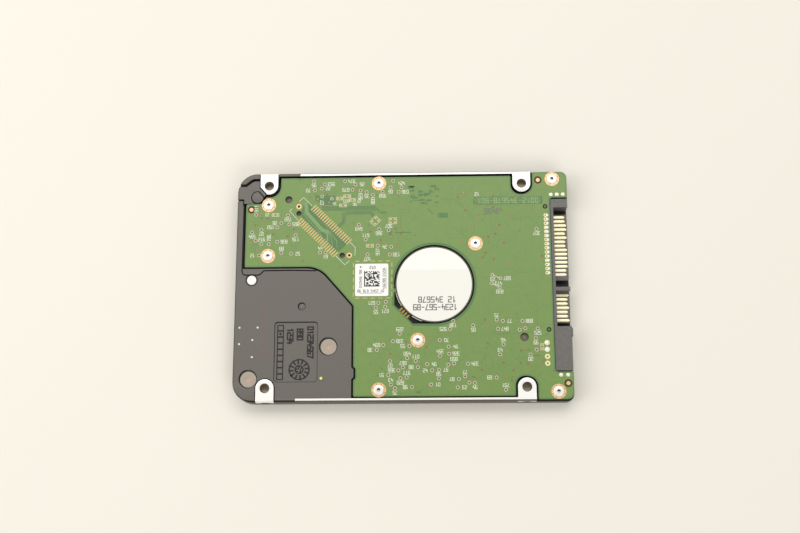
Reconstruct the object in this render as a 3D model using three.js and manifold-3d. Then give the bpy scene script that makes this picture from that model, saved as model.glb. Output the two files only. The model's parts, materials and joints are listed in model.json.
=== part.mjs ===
// A 2.5-inch, 7 mm SATA hard disk drive, lying on its cover with the circuit board up.
// Millimetres. Origin at the middle of the underside, +X to the SATA end, +Z up.
import * as THREE from 'three';
import { mergeVertices } from 'three/addons/utils/BufferGeometryUtils.js';
import Module from 'manifold-3d';

const wasm = await Module();
wasm.setup();

// ---- driving dimensions ----
const LENGTH = 100.2;
const WIDTH = 69.85;
const HEIGHT = 7.0;
const HALF_L = LENGTH / 2;
const HALF_W = WIDTH / 2;
const TINY = 0.02;                // gap between pieces that touch on the real drive

const MOUNT_X = [-40.5, 36.1];    // M3 holes, 90.6 and 14.0 mm from the SATA end
const MOUNT_Y = 30.86;            // M3 holes, half of the 61.72 mm spacing
const SIDE_HOLE_Z = HEIGHT - 3.0;
const SIDE_HOLE_DEPTH = 2.3;
const TAB_R = 2.75;
const M3_R = 1.3;

const LABEL_TOP = 0.1;
const COVER = { z0: 0.12, z1: 0.52, dimple: 0.9 };
const WALL_Z = 0.92;              // casting face that the gasket and cover close on
const CAVITY_Z = 4.05;            // inner face of the casting floor over the platter
const COIL_CAVITY_Z = 5.9;        // inner face of the deeper pocket over the voice coil
const BAY_Z = 4.75;               // outer floor that the circuit board hangs over
const BLACK_Z = 6.75;             // unmachined outer face
const BOARD = { z0: 5.75, z1: 6.55 };

const SPINDLE = [9.4, 0];
const PIVOT = [-30, -6.5];
const MOTOR_BOSS_R = 11.55;
const MOTOR_LABEL_R = 11.25;
const PLATTER = { inner: 10.0, outer: 32.5, z0: 1.98, z1: 2.62 };
const PARK_DEG = -46.4;           // direction of the parked arm, seen from +Z
const HEAD_REACH = 32.5;          // pivot axis to head
const TIP_REACH = 34.9;
const COIL_DEG = 170;             // direction of the parked coil

const ROUND = 36;                 // facets on a platter-sized round face
const SMOOTH = 24;                // facets on a large round face
const SMALL = 10;                 // facets on a small round face

const BOARD_SCREWS = [
  [-40.55, 24.9], [-40.5, 9.05], [-7.1, 31.45], [21.9, 12.3],
  [4.4, -16.9], [-7.1, -31.5], [45.35, 32.2], [45.25, -32.2],
];
const COVER_SCREWS = [
  [-46.3, 31.2], [-46.3, -31.2], [46.4, 31.2], [46.4, -31.2], [-14.1, 31.9], [-18.0, -31.9],
];
const BOARD_HOLES = [             // x, y, radius
  [-34.5, 26.6, 1.1], [-31.35, 22.2, 0.8], [-18.1, 9.0, 0.85], [35.75, -16.2, 1.25],
  [43.05, 23.6, 0.7], [43.0, -14.0, 0.7],
];
const SEALS = [[-21.9, -18.7], [-45.4, -28.2]];
const SEAL_R = 2.45;
const PLUG = [-45.2, 1.6];
const BREATHER = [-31, 21];
const FLEX_PORT = { x: -23.6, y: 16.7, length: 15.4, width: 5.4, deg: -45 };
const PITCH = 1.27;
const POWER_PINS = { first: 20.85, count: 15, long: [2, 3, 5, 8, 9, 10, 11, 12] };
const SIGNAL_PINS = { first: -3.25, count: 7, long: [0, 3, 6] };
const PIN_W = 0.84;
const TONGUE = { z0: 2.27, z1: 3.5 };
const CONNECTOR = { back: 44.6, inner: 45.75, front: 49.85, z0: 1.35, z1: 6.2, y0: -26.1, y1: 26.0 };
const TAIL_X = 43.3;

// ---- geometry helpers ----
const rad = THREE.MathUtils.degToRad;

function polar([x, y], r, deg) {
  return [x + r * Math.cos(rad(deg)), y + r * Math.sin(rad(deg))];
}

// Shape from [x, y, radius] corners, each corner rounded by an arc of its own radius.
function outline(corners, ShapeType = THREE.Shape) {
  const shape = new ShapeType();
  corners.forEach(([x, y, r = 0], i) => {
    const p = new THREE.Vector2(x, y);
    const prev = corners.at(i - 1);
    const next = corners[(i + 1) % corners.length];
    const a = new THREE.Vector2(prev[0], prev[1]).sub(p);
    const b = new THREE.Vector2(next[0], next[1]).sub(p);
    const half = Math.acos(THREE.MathUtils.clamp(a.dot(b) / (a.length() * b.length()), -1, 1)) / 2;
    const tangent = Math.min(r / Math.tan(half), a.length() * 0.49, b.length() * 0.49);
    const start = a.normalize().multiplyScalar(tangent).add(p);
    const end = b.normalize().multiplyScalar(tangent).add(p);
    if (i === 0) shape.moveTo(start.x, start.y);
    else shape.lineTo(start.x, start.y);
    if (tangent > 0.01) shape.quadraticCurveTo(x, y, end.x, end.y);
  });
  shape.closePath();
  return shape;
}

// Corners pushed outward by d, for outlines listed anticlockwise.
function grow(corners, d) {
  return corners.map(([x, y, r = 0], i) => {
    const prev = corners.at(i - 1);
    const next = corners[(i + 1) % corners.length];
    const a = new THREE.Vector2(x - prev[0], y - prev[1]).normalize();
    const b = new THREE.Vector2(next[0] - x, next[1] - y).normalize();
    const n = new THREE.Vector2(a.y + b.y, -a.x - b.x);
    const k = d / (1 + a.dot(b));
    return [x + n.x * k, y + n.y * k, r];
  });
}

function box2d(x0, y0, x1, y1, r = 0) {
  return [[x0, y0, r], [x1, y0, r], [x1, y1, r], [x0, y1, r]];
}

function plate(shape, z0, z1, curveSegments = 3) {
  const options = { depth: z1 - z0, bevelEnabled: false, curveSegments };
  return new THREE.ExtrudeGeometry(shape, options).translate(0, 0, z0);
}

function disc([x, y], r, z0, z1, segments = SMALL) {
  const g = new THREE.CylinderGeometry(r, r, z1 - z0, segments);
  return g.rotateX(Math.PI / 2).translate(x, y, (z0 + z1) / 2);
}

function block(x0, y0, z0, x1, y1, z1) {
  const g = new THREE.BoxGeometry(x1 - x0, y1 - y0, z1 - z0);
  return g.translate((x0 + x1) / 2, (y0 + y1) / 2, (z0 + z1) / 2);
}

// Solid of revolution about a vertical axis, from a closed [radius, z] profile.
function turned([x, y], profile, segments = SMOOTH) {
  const points = [...profile, profile[0]].map(([r, z]) => new THREE.Vector2(r, z));
  return new THREE.LatheGeometry(points, segments).rotateX(Math.PI / 2).translate(x, y, 0);
}

// Sector of a ring about `centre`, as a plate.
function sector(centre, r0, r1, deg0, deg1, z0, z1, steps = 8) {
  const shape = new THREE.Shape();
  shape.absarc(...centre, r1, rad(deg0), rad(deg1), false);
  shape.absarc(...centre, r0, rad(deg1), rad(deg0), true);
  shape.closePath();
  return plate(shape, z0, z1, steps);
}

function solid(geometry) {
  const g = geometry.index ? geometry.clone() : geometry;
  g.deleteAttribute('normal');
  g.deleteAttribute('uv');
  const merged = mergeVertices(g, 1e-4);
  const index = merged.index.array;
  const position = merged.attributes.position;
  let volume = 0;
  const v = [0, 1, 2].map(() => new THREE.Vector3());
  for (let i = 0; i < index.length; i += 3) {
    v.forEach((p, k) => p.fromBufferAttribute(position, index[i + k]));
    volume += v[0].dot(v[1].clone().cross(v[2]));
  }
  const triVerts = new Uint32Array(index);
  if (volume < 0) triVerts.reverse();
  const vertProperties = new Float32Array(position.array);
  return new wasm.Manifold(new wasm.Mesh({ numProp: 3, vertProperties, triVerts }));
}

function join(...pieces) {
  return pieces.map(asSolid).reduce((a, b) => a.add(b));
}

function cut(body, ...tools) {
  return tools.map(asSolid).reduce((a, b) => a.subtract(b), asSolid(body));
}

function asSolid(piece) {
  return piece.isBufferGeometry ? solid(piece) : piece;
}

function toGeometry(piece) {
  const mesh = asSolid(piece).getMesh();
  const g = new THREE.BufferGeometry();
  g.setAttribute('position', new THREE.BufferAttribute(new Float32Array(mesh.vertProperties), 3));
  g.setIndex(new THREE.BufferAttribute(new Uint32Array(mesh.triVerts), 1));
  g.computeVertexNormals();
  return g;
}

// ---- finishes ----
function finish(color, roughness, metalness) {
  return () => new THREE.MeshStandardMaterial({ color, roughness, metalness });
}

const BLACK_CASTING = finish(0x5a5651, 0.55, 0.3);
const STEEL = finish(0xd2d0ca, 0.3, 1.0);
const ALUMINIUM = finish(0xc9c9c6, 0.4, 1.0);
const MIRROR = finish(0xe6e6e8, 0.05, 1.0);
const SOLDER_MASK = finish(0x6f9148, 0.45, 0.0);
const BLACK_PLASTIC = finish(0x4a4844, 0.5, 0.0);
const CREAM_PLASTIC = finish(0xe7dfc8, 0.5, 0.0);
const RUBBER = finish(0x26241f, 0.85, 0.0);
const PAPER = finish(0xf2f0e8, 0.6, 0.0);
const GOLD = finish(0xe2c36a, 0.3, 1.0);
const COPPER = finish(0xb56a35, 0.4, 0.9);
const FILM = finish(0xb07a2c, 0.4, 0.0);
const GREY_SEAL = finish(0x9d9890, 0.5, 0.4);
const NICKEL = finish(0x9c9a92, 0.35, 1.0);
const FILTER = finish(0xefefea, 0.9, 0.0);

// ---- outlines ----
const CASTING = [
  [-HALF_L, -HALF_W, 6.5], [49.9, -HALF_W, 2.6], [49.9, HALF_W, 2.6], [-HALF_L, HALF_W, 6.5],
];

// Notch that clears a U-shaped mounting tab; `side` is +1 on the +Y edge.
function tabNotch(x, side, edgeLeft, edgeRight) {
  const r = TAB_R + 0.5;
  const end = side * (MOUNT_Y - r);
  const left = [[x - r, edgeLeft, 0.5], [x - r, end, r]];
  const right = [[x + r, end, r], [x + r, edgeRight, 0.4]];
  return side < 0 ? [...left, ...right] : [...right.reverse(), ...left.reverse()];
}

const BOARD_EDGE = [
  [-14.6, -33.45, 0.5], ...tabNotch(MOUNT_X[1], -1, -33.45, -34.45),
  [49.75, -34.45, 1.9], [49.75, -26.45, 0.3], [44.45, -26.45, 0.9],
  [44.45, 26.35, 0.9], [49.75, 26.35, 0.3], [49.75, 34.45, 1.9],
  ...tabNotch(MOUNT_X[1], 1, 33.4, 34.45),
  [-36.95, 33.4, 0.3], [-36.95, 27.35, 3.5], [-42.0, 27.35, 0.5], [-42.6, 25.15, 1.3],
  [-47.35, 25.15, 0.6], [-47.35, 5.6, 0.4], [-25.0, 5.6, 8.0], [-14.6, -6.4, 1.4],
  [-14.6, -24.6, 0.3], [-13.95, -25.2, 0.4], [-13.95, -28.0, 0.4], [-14.6, -28.6, 0.3],
];

const ACTUATOR_ROOM = [
  [-48.3, -26.0, 1.5], [-35.2, -26.0, 0.8], [-34.4, -30.4, 1.2], [-21.9, -30.4, 0.8],
  [-21.5, -28.2, 0.8], [-14.5, -28.2, 0.8], [-14.1, -33.0, 0.8], [5.0, -33.0, 0.2],
  [5.0, 33.0, 0.2], [-10.2, 33.0, 0.8], [-10.6, 28.2, 0.8], [-17.6, 28.2, 0.8],
  [-18.0, 31.8, 0.8], [-35.6, 31.8, 0.8], [-36.4, 26.2, 0.8], [-48.3, 26.2, 1.5],
];
const PLATTER_ROOM_R = 33.2;

// The drive's inner room, grown by d, between two heights.
function room(d, z0, z1) {
  const actuatorSide = plate(outline(grow(ACTUATOR_ROOM, d)), z0, z1, 3);
  return join(actuatorSide, disc(SPINDLE, PLATTER_ROOM_R + d, z0, z1, ROUND));
}

function motorOpening(z0, z1) {
  const corner = [[-2.5, 0.5], [-2.5, -6.3], [2.95, -11.95], [9.4, -11.95], [9.4, 0.5]];
  return join(disc(SPINDLE, 11.9, z0, z1, ROUND), plate(outline(corner), z0, z1));
}

// ---- casting ----
function mountTab(x, side) {
  const edge = side * HALF_W;
  const inner = side * (MOUNT_Y - TAB_R);
  const corners = [
    [x - TAB_R, edge], [x - TAB_R, inner, TAB_R], [x + TAB_R, inner, TAB_R], [x + TAB_R, edge],
  ];
  const bevelled = x < 0 && side > 0;
  if (bevelled) corners.splice(1, 1, [x - TAB_R, inner + 2.6], [x - 0.6, inner]);
  return plate(outline(corners), BAY_Z - 0.3, HEIGHT, 5);
}

function mountHoles() {
  return MOUNT_X.flatMap((x) => [-1, 1].flatMap((side) => [
    disc([x, side * MOUNT_Y], M3_R, 4.2, HEIGHT + 1),
    disc([0, 0], M3_R, HALF_W - SIDE_HOLE_DEPTH, HALF_W + 1)
      .rotateX(-side * Math.PI / 2).translate(x, 0, SIDE_HOLE_Z),
  ]));
}

function rail(side) {
  const span = side > 0 ? [-31.0, MOUNT_X[1]] : [-31.5, MOUNT_X[1]];
  const [y0, y1] = [side * (HALF_W - 1.0), side * HALF_W].sort((a, b) => a - b);
  return block(span[0], y0, BLACK_Z - 0.5, span[1], y1, HEIGHT);
}

function baseCasting() {
  const shell = plate(outline(CASTING), WALL_Z, BLACK_Z, 5);
  const boardBay = plate(outline(grow(BOARD_EDGE, 0.35)), BAY_Z, HEIGHT, 3);
  const rimCut = [-1, 1].map((s) => block(41, s > 0 ? 33 : -36, BOARD.z0, 52, s > 0 ? 36 : -33, HEIGHT));
  const cornerPocket = plate(outline([
    [-48.4, 30.6, 0.3], [-43.6, 33.3, 0.3], [-43.6, 32.4, 0.2], [-47.4, 30.2, 0.4],
  ].reverse()), 5.4, HEIGHT);
  const sideGroove = plate(outline([
    [-48.15, 26.2, 0.2], [-48.15, 3.5, 1.0], [-42.0, 3.5, 0.6], [-41.0, 4.6, 0.3], [-41.0, 5.5, 0.2],
    [-47.3, 5.5, 0.2], [-47.3, 26.2, 0.2],
  ]), 6.25, HEIGHT);
  const bosses = BOARD_SCREWS.map((p) => disc(p, 1.9, BAY_Z - 0.3, BOARD.z0 - TINY));
  const locator = disc([-44.15, 27.1], 1.45, BAY_Z - 0.3, 6.7);
  const motorBoss = disc(SPINDLE, MOTOR_BOSS_R, BAY_Z - 0.5, 6.2, SMOOTH);
  const solidParts = join(cut(shell, boardBay, ...rimCut, cornerPocket, sideGroove),
    ...bosses, locator, motorBoss, rail(-1), rail(1),
    ...MOUNT_X.flatMap((x) => [mountTab(x, -1), mountTab(x, 1)]));
  return cut(solidParts, ...castingHollows()).add(solid(sleevePost())).add(solid(latchPost()));
}

function castingHollows() {
  const coilRoom = plate(outline([
    [-48.3, -25.6, 1.5], [-29.0, -25.6, 1.5], [-21.5, -13.0, 1.5], [-21.5, -1.0, 1.5],
    [-27.0, 4.6, 1.5], [-48.3, 4.6, 1.5],
  ]), CAVITY_Z - 0.5, COIL_CAVITY_Z, 4);
  const stator = disc(SPINDLE, 10.95, CAVITY_Z - 0.5, 5.55, SMOOTH);
  const connectorBay = block(44.5, -26.3, 1.3, 52, 26.2, HEIGHT + 1);
  const tailBay = block(42.9, -11.8, 3.2, 44.6, 22.0, HEIGHT);
  const platterWall = disc(SPINDLE, PLATTER_ROOM_R, WALL_Z - 1, CAVITY_Z, ROUND);
  const panel = plate(outline(box2d(-38.0, -29.1, -25.1, -11.1, 1.0)), 6.5, HEIGHT, 3);
  const pockets = [
    ...SEALS.map((p) => disc(p, SEAL_R + 0.1, 6.4, HEIGHT, SMOOTH)), disc(PLUG, 1.75, 6.35, HEIGHT, SMOOTH),
    disc(PIVOT, 1.05, 5.5, HEIGHT), flexPort(), panel,
  ];
  const threads = [
    ...BOARD_SCREWS.map((p) => disc(p, 0.92, 4.5, HEIGHT, 8)),
    ...COVER_SCREWS.map((p) => disc(p, 1.05, 0, 3.7, 8)),
  ];
  return [room(0, WALL_Z - 1, CAVITY_Z), coilRoom, stator, connectorBay, cut(tailBay, platterWall),
    ...pockets, ...threads, ...mountHoles()];
}

function flexPort() {
  const { x, y, length, width, deg } = FLEX_PORT;
  return new THREE.BoxGeometry(length, width, 3).rotateZ(rad(deg)).translate(x, y, BAY_Z);
}

function sleevePost() {
  return turned(SPINDLE, [[2.65, 3.6], [3.45, 3.6], [3.45, 5.8], [2.65, 5.8]]);
}

const LATCH_POST = [-43.6, -22.0];
const LATCH_Z = [2.35, 3.35];
const LATCH_OPEN_DEG = 10;

function latchPost() {
  return disc(LATCH_POST, 0.8, 2.0, COIL_CAVITY_Z + 0.2);
}

// ---- cover side ----
function topCover() {
  const rim = [[-49.7, -34.5, 5.5], [49.5, -34.5, 2.4], [49.5, 34.5, 2.4], [-49.7, 34.5, 5.5]];
  const screws = [...COVER_SCREWS, PIVOT];
  const sheet = plate(outline(rim), COVER.z0, COVER.z1, 4);
  const cups = screws.map((p) => disc(p, 2.3, COVER.z0 + 0.1, COVER.dimple));
  const wells = screws.map((p) => disc(p, 1.95, 0, COVER.z1 + 0.03));
  const holes = screws.map((p) => disc(p, 1.15, 0, 2, 8));
  const breath = disc(BREATHER, 0.6, 0, 1, 8);
  return cut(join(sheet, ...cups), ...wells, ...holes, breath);
}

function coverGasket() {
  return cut(room(1.3, 0.56, 0.89), room(0.4, 0, 2));
}

function coverLabel() {
  const edge = [
    [-43.0, -31.0, 1.0], [43.0, -31.0, 1.0], [47.5, -26.5, 1.0], [47.5, 26.5, 1.0],
    [43.0, 31.0, 1.0], [-10.5, 31.0, 0.5], [-10.5, 28.6, 0.5], [-43.0, 28.6, 1.0],
    [-47.5, 24.0, 1.0], [-47.5, -26.5, 1.0],
  ];
  const clearance = disc(COVER_SCREWS[5], 2.7, -1, 1);
  return cut(plate(outline(edge), 0, LABEL_TOP, 4), clearance, disc(BREATHER, 1.2, -1, 1));
}

function coverScrew(p, length) {
  return turned(p, [[0, 0.16], [1.75, 0.16], [1.75, 0.53], [0.98, 0.53], [0.98, length], [0, length]], SMALL);
}

function torxScrew(p, shank, top, r) {
  const profile = [[0, shank], [0.8, shank], [0.8, BOARD.z1 + TINY], [r, BOARD.z1 + TINY],
    [r, top - 0.15], [r - 0.2, top], [0, top]];
  const socket = disc(p, 0.75, top - 0.22, top + 1, 6);
  return cut(turned(p, profile, SMALL), socket);
}

// ---- board side ----
function circuitBoard() {
  const sheet = plate(outline(BOARD_EDGE), BOARD.z0, BOARD.z1, 5);
  const holes = BOARD_HOLES.map(([x, y, r]) => disc([x, y], r, 5, 8, 10));
  const screwHoles = BOARD_SCREWS.map((p) => disc(p, 0.95, 5, 8, 8));
  const tails = pinRows(POWER_PINS).map((y) => block(TAIL_X - 0.3, y - 0.3, 5, TAIL_X + 0.3, y + 0.3, 8));
  return cut(sheet, motorOpening(5, 8), ...holes, ...screwHoles, ...tails);
}

function pinRows({ first, count }) {
  return Array.from({ length: count }, (_, i) => first - i * PITCH);
}

function sataHousing() {
  const c = CONNECTOR;
  const tall = (y0, y1, front = c.front) => block(c.inner - 0.1, y0, c.z0, front, y1, c.z1);
  const tongue = (y0, y1) => plate(outline([
    [c.inner - 0.1, y0], [c.front - 0.3, y0], [c.front, y0 + 0.4], [c.front, y1 - 0.4],
    [c.front - 0.3, y1], [c.inner - 0.1, y1],
  ]), TONGUE.z0, TONGUE.z1);
  const nose = plate(outline([
    [c.front - 1, -13.3], [c.front - 1, -16.3], [c.front + 0.1, -16.3], [HALF_L, -15.9],
    [HALF_L, -13.7], [c.front + 0.1, -13.3],
  ]), c.z0, c.z1 - 0.4);
  const body = join(block(c.back, c.y0, c.z0, c.inner, c.y1, c.z1),
    tall(23.4, c.y1), tall(-2.2, -1.15), tall(c.y0, -13.0), nose, tongue(1.35, 21.75), tongue(-11.6, -2.1));
  const slots = [POWER_PINS, SIGNAL_PINS].map((pins) => {
    const rows = pinRows(pins);
    return block(c.back - 1, rows.at(-1) - 0.6, TONGUE.z1, c.inner + 0.5, rows[0] + 0.6, TONGUE.z1 + 0.16);
  });
  return cut(body, ...slots);
}

// One row of contact blades on a carrier bar, with tails that end at height tailTop.
function contactRow(pins, tailTop) {
  const rows = pinRows(pins);
  const z0 = TONGUE.z1 + TINY;
  const z1 = z0 + 0.08;
  const bar = block(TAIL_X - 0.2, rows.at(-1) - 0.4, z0, TAIL_X + 0.4, rows[0] + 0.4, z1);
  const blades = rows.map((y, i) => {
    const tip = pins.long.includes(i) ? 49.5 : 49.0;
    return block(TAIL_X, y - PIN_W / 2, z0, tip, y + PIN_W / 2, z1);
  });
  const tails = rows.map((y) => block(TAIL_X - 0.2, y - 0.2, z0, TAIL_X + 0.2, y + 0.2, tailTop));
  return join(bar, ...blades, ...tails);
}

function insulatorSheet() {
  const edge = [
    [-12.5, -31.0, 1], [32.0, -31.0, 1], [32.0, -25.5, 1], [41.5, -25.5, 1], [41.5, 24.0, 1],
    [26.0, 30.0, 1], [-3.0, 30.0, 1], [-12.5, 22.0, 1],
  ];
  const windows = CHIPS.map(([x, y, w, h]) => {
    const [dx, dy] = [w / 2 + 0.4, h / 2 + 0.4];
    return block(x - dx, y - dy, 4, x + dx, y + dy, 6);
  });
  const bosses = BOARD_SCREWS.map((p) => disc(p, 2.2, 4, 6));
  const motor = join(disc(SPINDLE, 12.6, 4, 6, SMOOTH), block(-12.6, -14.5, 4, 4, 1, 6));
  return cut(plate(outline(edge), BAY_Z + TINY, 5.05), motor, ...windows, ...bosses);
}

const CHIPS = [                   // x, y, width, depth: controller, motor driver, memory
  [26.0, -20.0, 9.0, 9.0], [10.0, -22.5, 6.0, 6.0], [30.5, 22.5, 8.0, 4.5],
];

function chip([x, y, w, h]) {
  const [dx, dy] = [w / 2, h / 2];
  const body = plate(outline(box2d(x - dx, y - dy, x + dx, y + dy, 0.2)), 4.85, BOARD.z0 - 0.12, 2);
  const pads = block(x - dx + 0.5, y - dy + 0.5, 5.5, x + dx - 0.5, y + dy - 0.5, BOARD.z0 - TINY);
  return join(body, pads);
}

function headConnector() {
  const { x, y, length, width, deg } = FLEX_PORT;
  const through = new THREE.BoxGeometry(length - 0.3, width - 0.3, 2.2).translate(0, 0, 4.6);
  const flange = new THREE.BoxGeometry(length + 1.6, width + 1.6, 0.5).translate(0, 0, 3.75);
  const body = join(through, flange);
  return toGeometry(body).rotateZ(rad(deg)).translate(x, y, 0);
}

function motorFlex() {
  const strip = new THREE.BoxGeometry(6.5, 4.2, 0.1).translate(MOTOR_BOSS_R + 3.5, 0, BAY_Z + 0.07);
  return strip.rotateZ(rad(223)).translate(...SPINDLE, 0);
}

// ---- spindle ----
function statorCore() {
  const yoke = turned(SPINDLE, [[3.5, 3.75], [4.6, 3.75], [4.6, 4.45], [3.5, 4.45]]);
  const teeth = Array.from({ length: 9 }, (_, i) => {
    const stem = new THREE.BoxGeometry(4.2, 0.9, 0.7).translate(6.3, 0, 4.1);
    const shoe = sector([0, 0], 8.0, 8.7, -15, 15, 3.75, 4.45, 2);
    return join(stem, shoe).rotate([0, 0, i * 40]).translate([...SPINDLE, 0]);
  });
  return join(yoke, ...teeth);
}

function statorWinding() {
  const ring = turned(SPINDLE, [[4.75, 4.7], [5.2, 4.7], [5.2, 5.0], [4.75, 5.0]]);
  const coils = Array.from({ length: 9 }, (_, i) => {
    const outer = new THREE.BoxGeometry(2.6, 2.0, 1.8).translate(6.3, 0, 4.1);
    const inner = new THREE.BoxGeometry(6, 0.96, 0.76).translate(6.3, 0, 4.1);
    return cut(outer, inner).rotate([0, 0, i * 40]).translate([...SPINDLE, 0]);
  });
  return join(ring, ...coils);
}

function spindleHub() {
  return turned(SPINDLE, [
    [1.27, 1.55], [9.9, 1.55], [9.9, 2.64], [10.95, 2.64], [10.95, 3.3], [10.55, 3.3], [10.55, 5.25],
    [9.95, 5.25], [9.95, 2.95], [9.1, 2.3], [1.27, 2.3],
  ]);
}

const spindleShaft = () => turned(SPINDLE, [
  [0.95, 1.52], [1.25, 1.52], [1.25, 5.5], [0, 5.5], [0, 2.9], [0.95, 2.9],
]);
const bearingSleeve = () => turned(SPINDLE, [[1.29, 2.4], [2.6, 2.4], [2.6, 5.5], [1.29, 5.5]]);
const rotorMagnet = () => turned(SPINDLE, [[9.15, 3.3], [9.92, 3.3], [9.92, 5.2], [9.15, 5.2]]);
const platter = () => turned(SPINDLE, [
  [PLATTER.inner, PLATTER.z0], [PLATTER.outer - 0.1, PLATTER.z0], [PLATTER.outer, PLATTER.z0 + 0.1],
  [PLATTER.outer, PLATTER.z1 - 0.1], [PLATTER.outer - 0.1, PLATTER.z1], [PLATTER.inner, PLATTER.z1],
], ROUND);
const diskClamp = () => turned(SPINDLE, [
  [1.4, 1.1], [10.2, 1.1], [11.2, 1.55], [11.2, 1.96], [10.3, 1.96], [10.3, 1.65], [9.7, 1.5], [1.4, 1.5],
]);
const clampScrew = () => turned(SPINDLE, [
  [0, 0.68], [2.0, 0.68], [2.2, 0.8], [2.2, 1.08], [0.9, 1.08], [0.9, 2.8], [0, 2.8],
], SMALL);

// ---- actuator, modelled with the arm along +X at the origin, then turned to its parked direction ----
const BEAM_Z = [[1.52, 1.62], [2.98, 3.08]];
const ARM_Z = [[1.08, 1.5], [3.1, 3.52]];
const SLIDER_Z = [[1.66, 1.92], [2.68, 2.94]];
const COIL_OFFSET = COIL_DEG - PARK_DEG;   // coil direction measured from the arm
const COIL = { inner: 10.2, outer: 16.2, half: 25, z0: 2.3, z1: 3.4 };

function parked(piece) {
  const geometry = piece.isBufferGeometry ? piece : toGeometry(piece);
  return geometry.rotateZ(rad(PARK_DEG)).translate(...PIVOT, 0);
}

function actuatorArm() {
  const barrel = turned([0, 0], [[4.05, 1.05], [6.2, 1.05], [6.2, 3.9], [4.05, 3.9]]);
  const arms = ARM_Z.map(([z0, z1]) => plate(outline([
    [3.8, -4.6, 1], [19.5, -2.3, 1.2], [19.5, 2.3, 1.2], [3.8, 4.6, 1],
  ]), z0, z1, 3));
  const crotch = disc([0, 0], 4.5, 0, 5);
  const prongs = [-1, 1].map((s) => {
    const mid = COIL_OFFSET + s * (COIL.half + 5.0);
    return sector([0, 0], 5.6, COIL.outer, mid - 2.2, mid + 2.2, COIL.z0, COIL.z1, 1);
  });
  const edge = COIL_OFFSET + COIL.half;
  const tang = sector([0, 0], 15.2, 17.25, edge + 3.2, edge + 7.0, COIL.z0, COIL.z1, 1);
  return parked(join(barrel, ...arms.map((a) => cut(a, crotch)), ...prongs, tang));
}

function voiceCoil() {
  const mid = COIL_OFFSET;
  const [start, end] = [mid - COIL.half, mid + COIL.half];
  const outer = sector([0, 0], COIL.inner - 1.6, COIL.outer, start, end, COIL.z0, COIL.z1);
  const hole = sector([0, 0], COIL.inner + 0.4, COIL.outer - 1.9, mid - 13, mid + 13, 0, 5);
  return parked(cut(outer, hole));
}

function suspension([z0, z1]) {
  return parked(plate(outline([
    [15.5, -2.2, 0.4], [19.5, -2.2, 0.4], [22.0, -2.0, 0.4], [33.4, -0.45, 0.2], [TIP_REACH, -0.35, 0.3],
    [TIP_REACH, 0.35, 0.3], [33.4, 0.45, 0.2], [22.0, 2.0, 0.4], [19.5, 2.2, 0.4], [15.5, 2.2, 0.4],
  ]), z0, z1, 2));
}

function slider([z0, z1]) {
  return parked(block(HEAD_REACH - 0.6, -0.5, z0, HEAD_REACH + 0.6, 0.5, z1));
}

function pivotSleeve() {
  return turned(PIVOT, [[2.05, 1.0], [4.0, 1.0], [4.0, 3.95], [2.05, 3.95]]);
}

function pivotShaft() {
  return turned(PIVOT, [
    [1.05, 0.94], [2.0, 0.94], [2.0, 5.2], [1.0, 5.2], [1.0, 6.4], [0, 6.4], [0, 3.4], [1.05, 3.4],
  ], SMALL);
}

// ---- voice-coil magnets, latch, ramp and filters ----
const VCM_DEG = [146, 240];

function yoke(z0, z1) {
  const fan = sector(PIVOT, 8.2, 17.9, ...VCM_DEG, z0, z1);
  const ears = VCM_DEG.map((deg) => disc(polar(PIVOT, 16.0, deg), 1.9, z0, z1));
  return join(fan, ...ears);
}

const magnet = () => sector(PIVOT, 9.4, 16.9, VCM_DEG[0] + 5, VCM_DEG[1] - 5, 3.7, 4.75);

function headFlex() {
  const curve = new THREE.CatmullRomCurve3([
    new THREE.Vector3(...polar(PIVOT, 6.7, 95), 2.45), new THREE.Vector3(-32.6, 3.6, 2.45),
    new THREE.Vector3(-33.6, 8.2, 2.45), new THREE.Vector3(-31.2, 12.6, 2.45),
    new THREE.Vector3(-27.4, 14.4, 2.45),
  ]);
  const ribbon = outline(box2d(-0.7, -0.06, 0.7, 0.06));
  return new THREE.ExtrudeGeometry(ribbon, { steps: 14, bevelEnabled: false, extrudePath: curve });
}

function loadRamp() {
  const bar = sector(PIVOT, 33.75, 35.2, PARK_DEG - 1.9, PARK_DEG + 5.5, 1.66, 2.94, 3);
  const foot = sector(PIVOT, 35.1, 36.2, PARK_DEG + 0.4, PARK_DEG + 3.8, 1.4, CAVITY_Z - TINY, 2);
  const slot = disc(SPINDLE, PLATTER.outer + 0.35, PLATTER.z0 - 0.16, PLATTER.z1 + 0.16, ROUND);
  return cut(join(bar, foot), slot);
}

// Drawn closed, with its tooth just past the parked tang, then turned open about its post.
function actuatorLatch() {
  const lever = plate(outline([
    polar(PIVOT, 16.45, 203.8), polar(PIVOT, 18.1, 203.8), polar(PIVOT, 18.5, 209),
    [-44.9, -21.6], [-43.0, -20.9], polar(PIVOT, 17.6, 207), polar(PIVOT, 16.45, 206),
  ]), LATCH_Z[0], LATCH_Z[1]).translate(-LATCH_POST[0], -LATCH_POST[1], 0);
  const open = lever.rotateZ(rad(LATCH_OPEN_DEG)).translate(...LATCH_POST, 0);
  return cut(join(disc(LATCH_POST, 1.6, ...LATCH_Z), open), disc(LATCH_POST, 0.95, 0, 5));
}

function airFilter() {
  const pleats = Array.from({ length: 7 }, (_, i) => {
    return new THREE.BoxGeometry(0.55, 2.0, 2.4).translate(-3 + i, 0, 2.5);
  });
  const back = new THREE.BoxGeometry(7.2, 0.6, 2.6).translate(0, 1.1, 2.5);
  return toGeometry(join(back, ...pleats)).rotateZ(rad(48)).translate(-21.8, 26.6, 0);
}

const breatherFilter = () => disc(BREATHER, 3.2, 0.56, 1.3);

// ---- assembly ----
const drive = new THREE.Group();
drive.name = 'hard_disk_drive';

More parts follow.
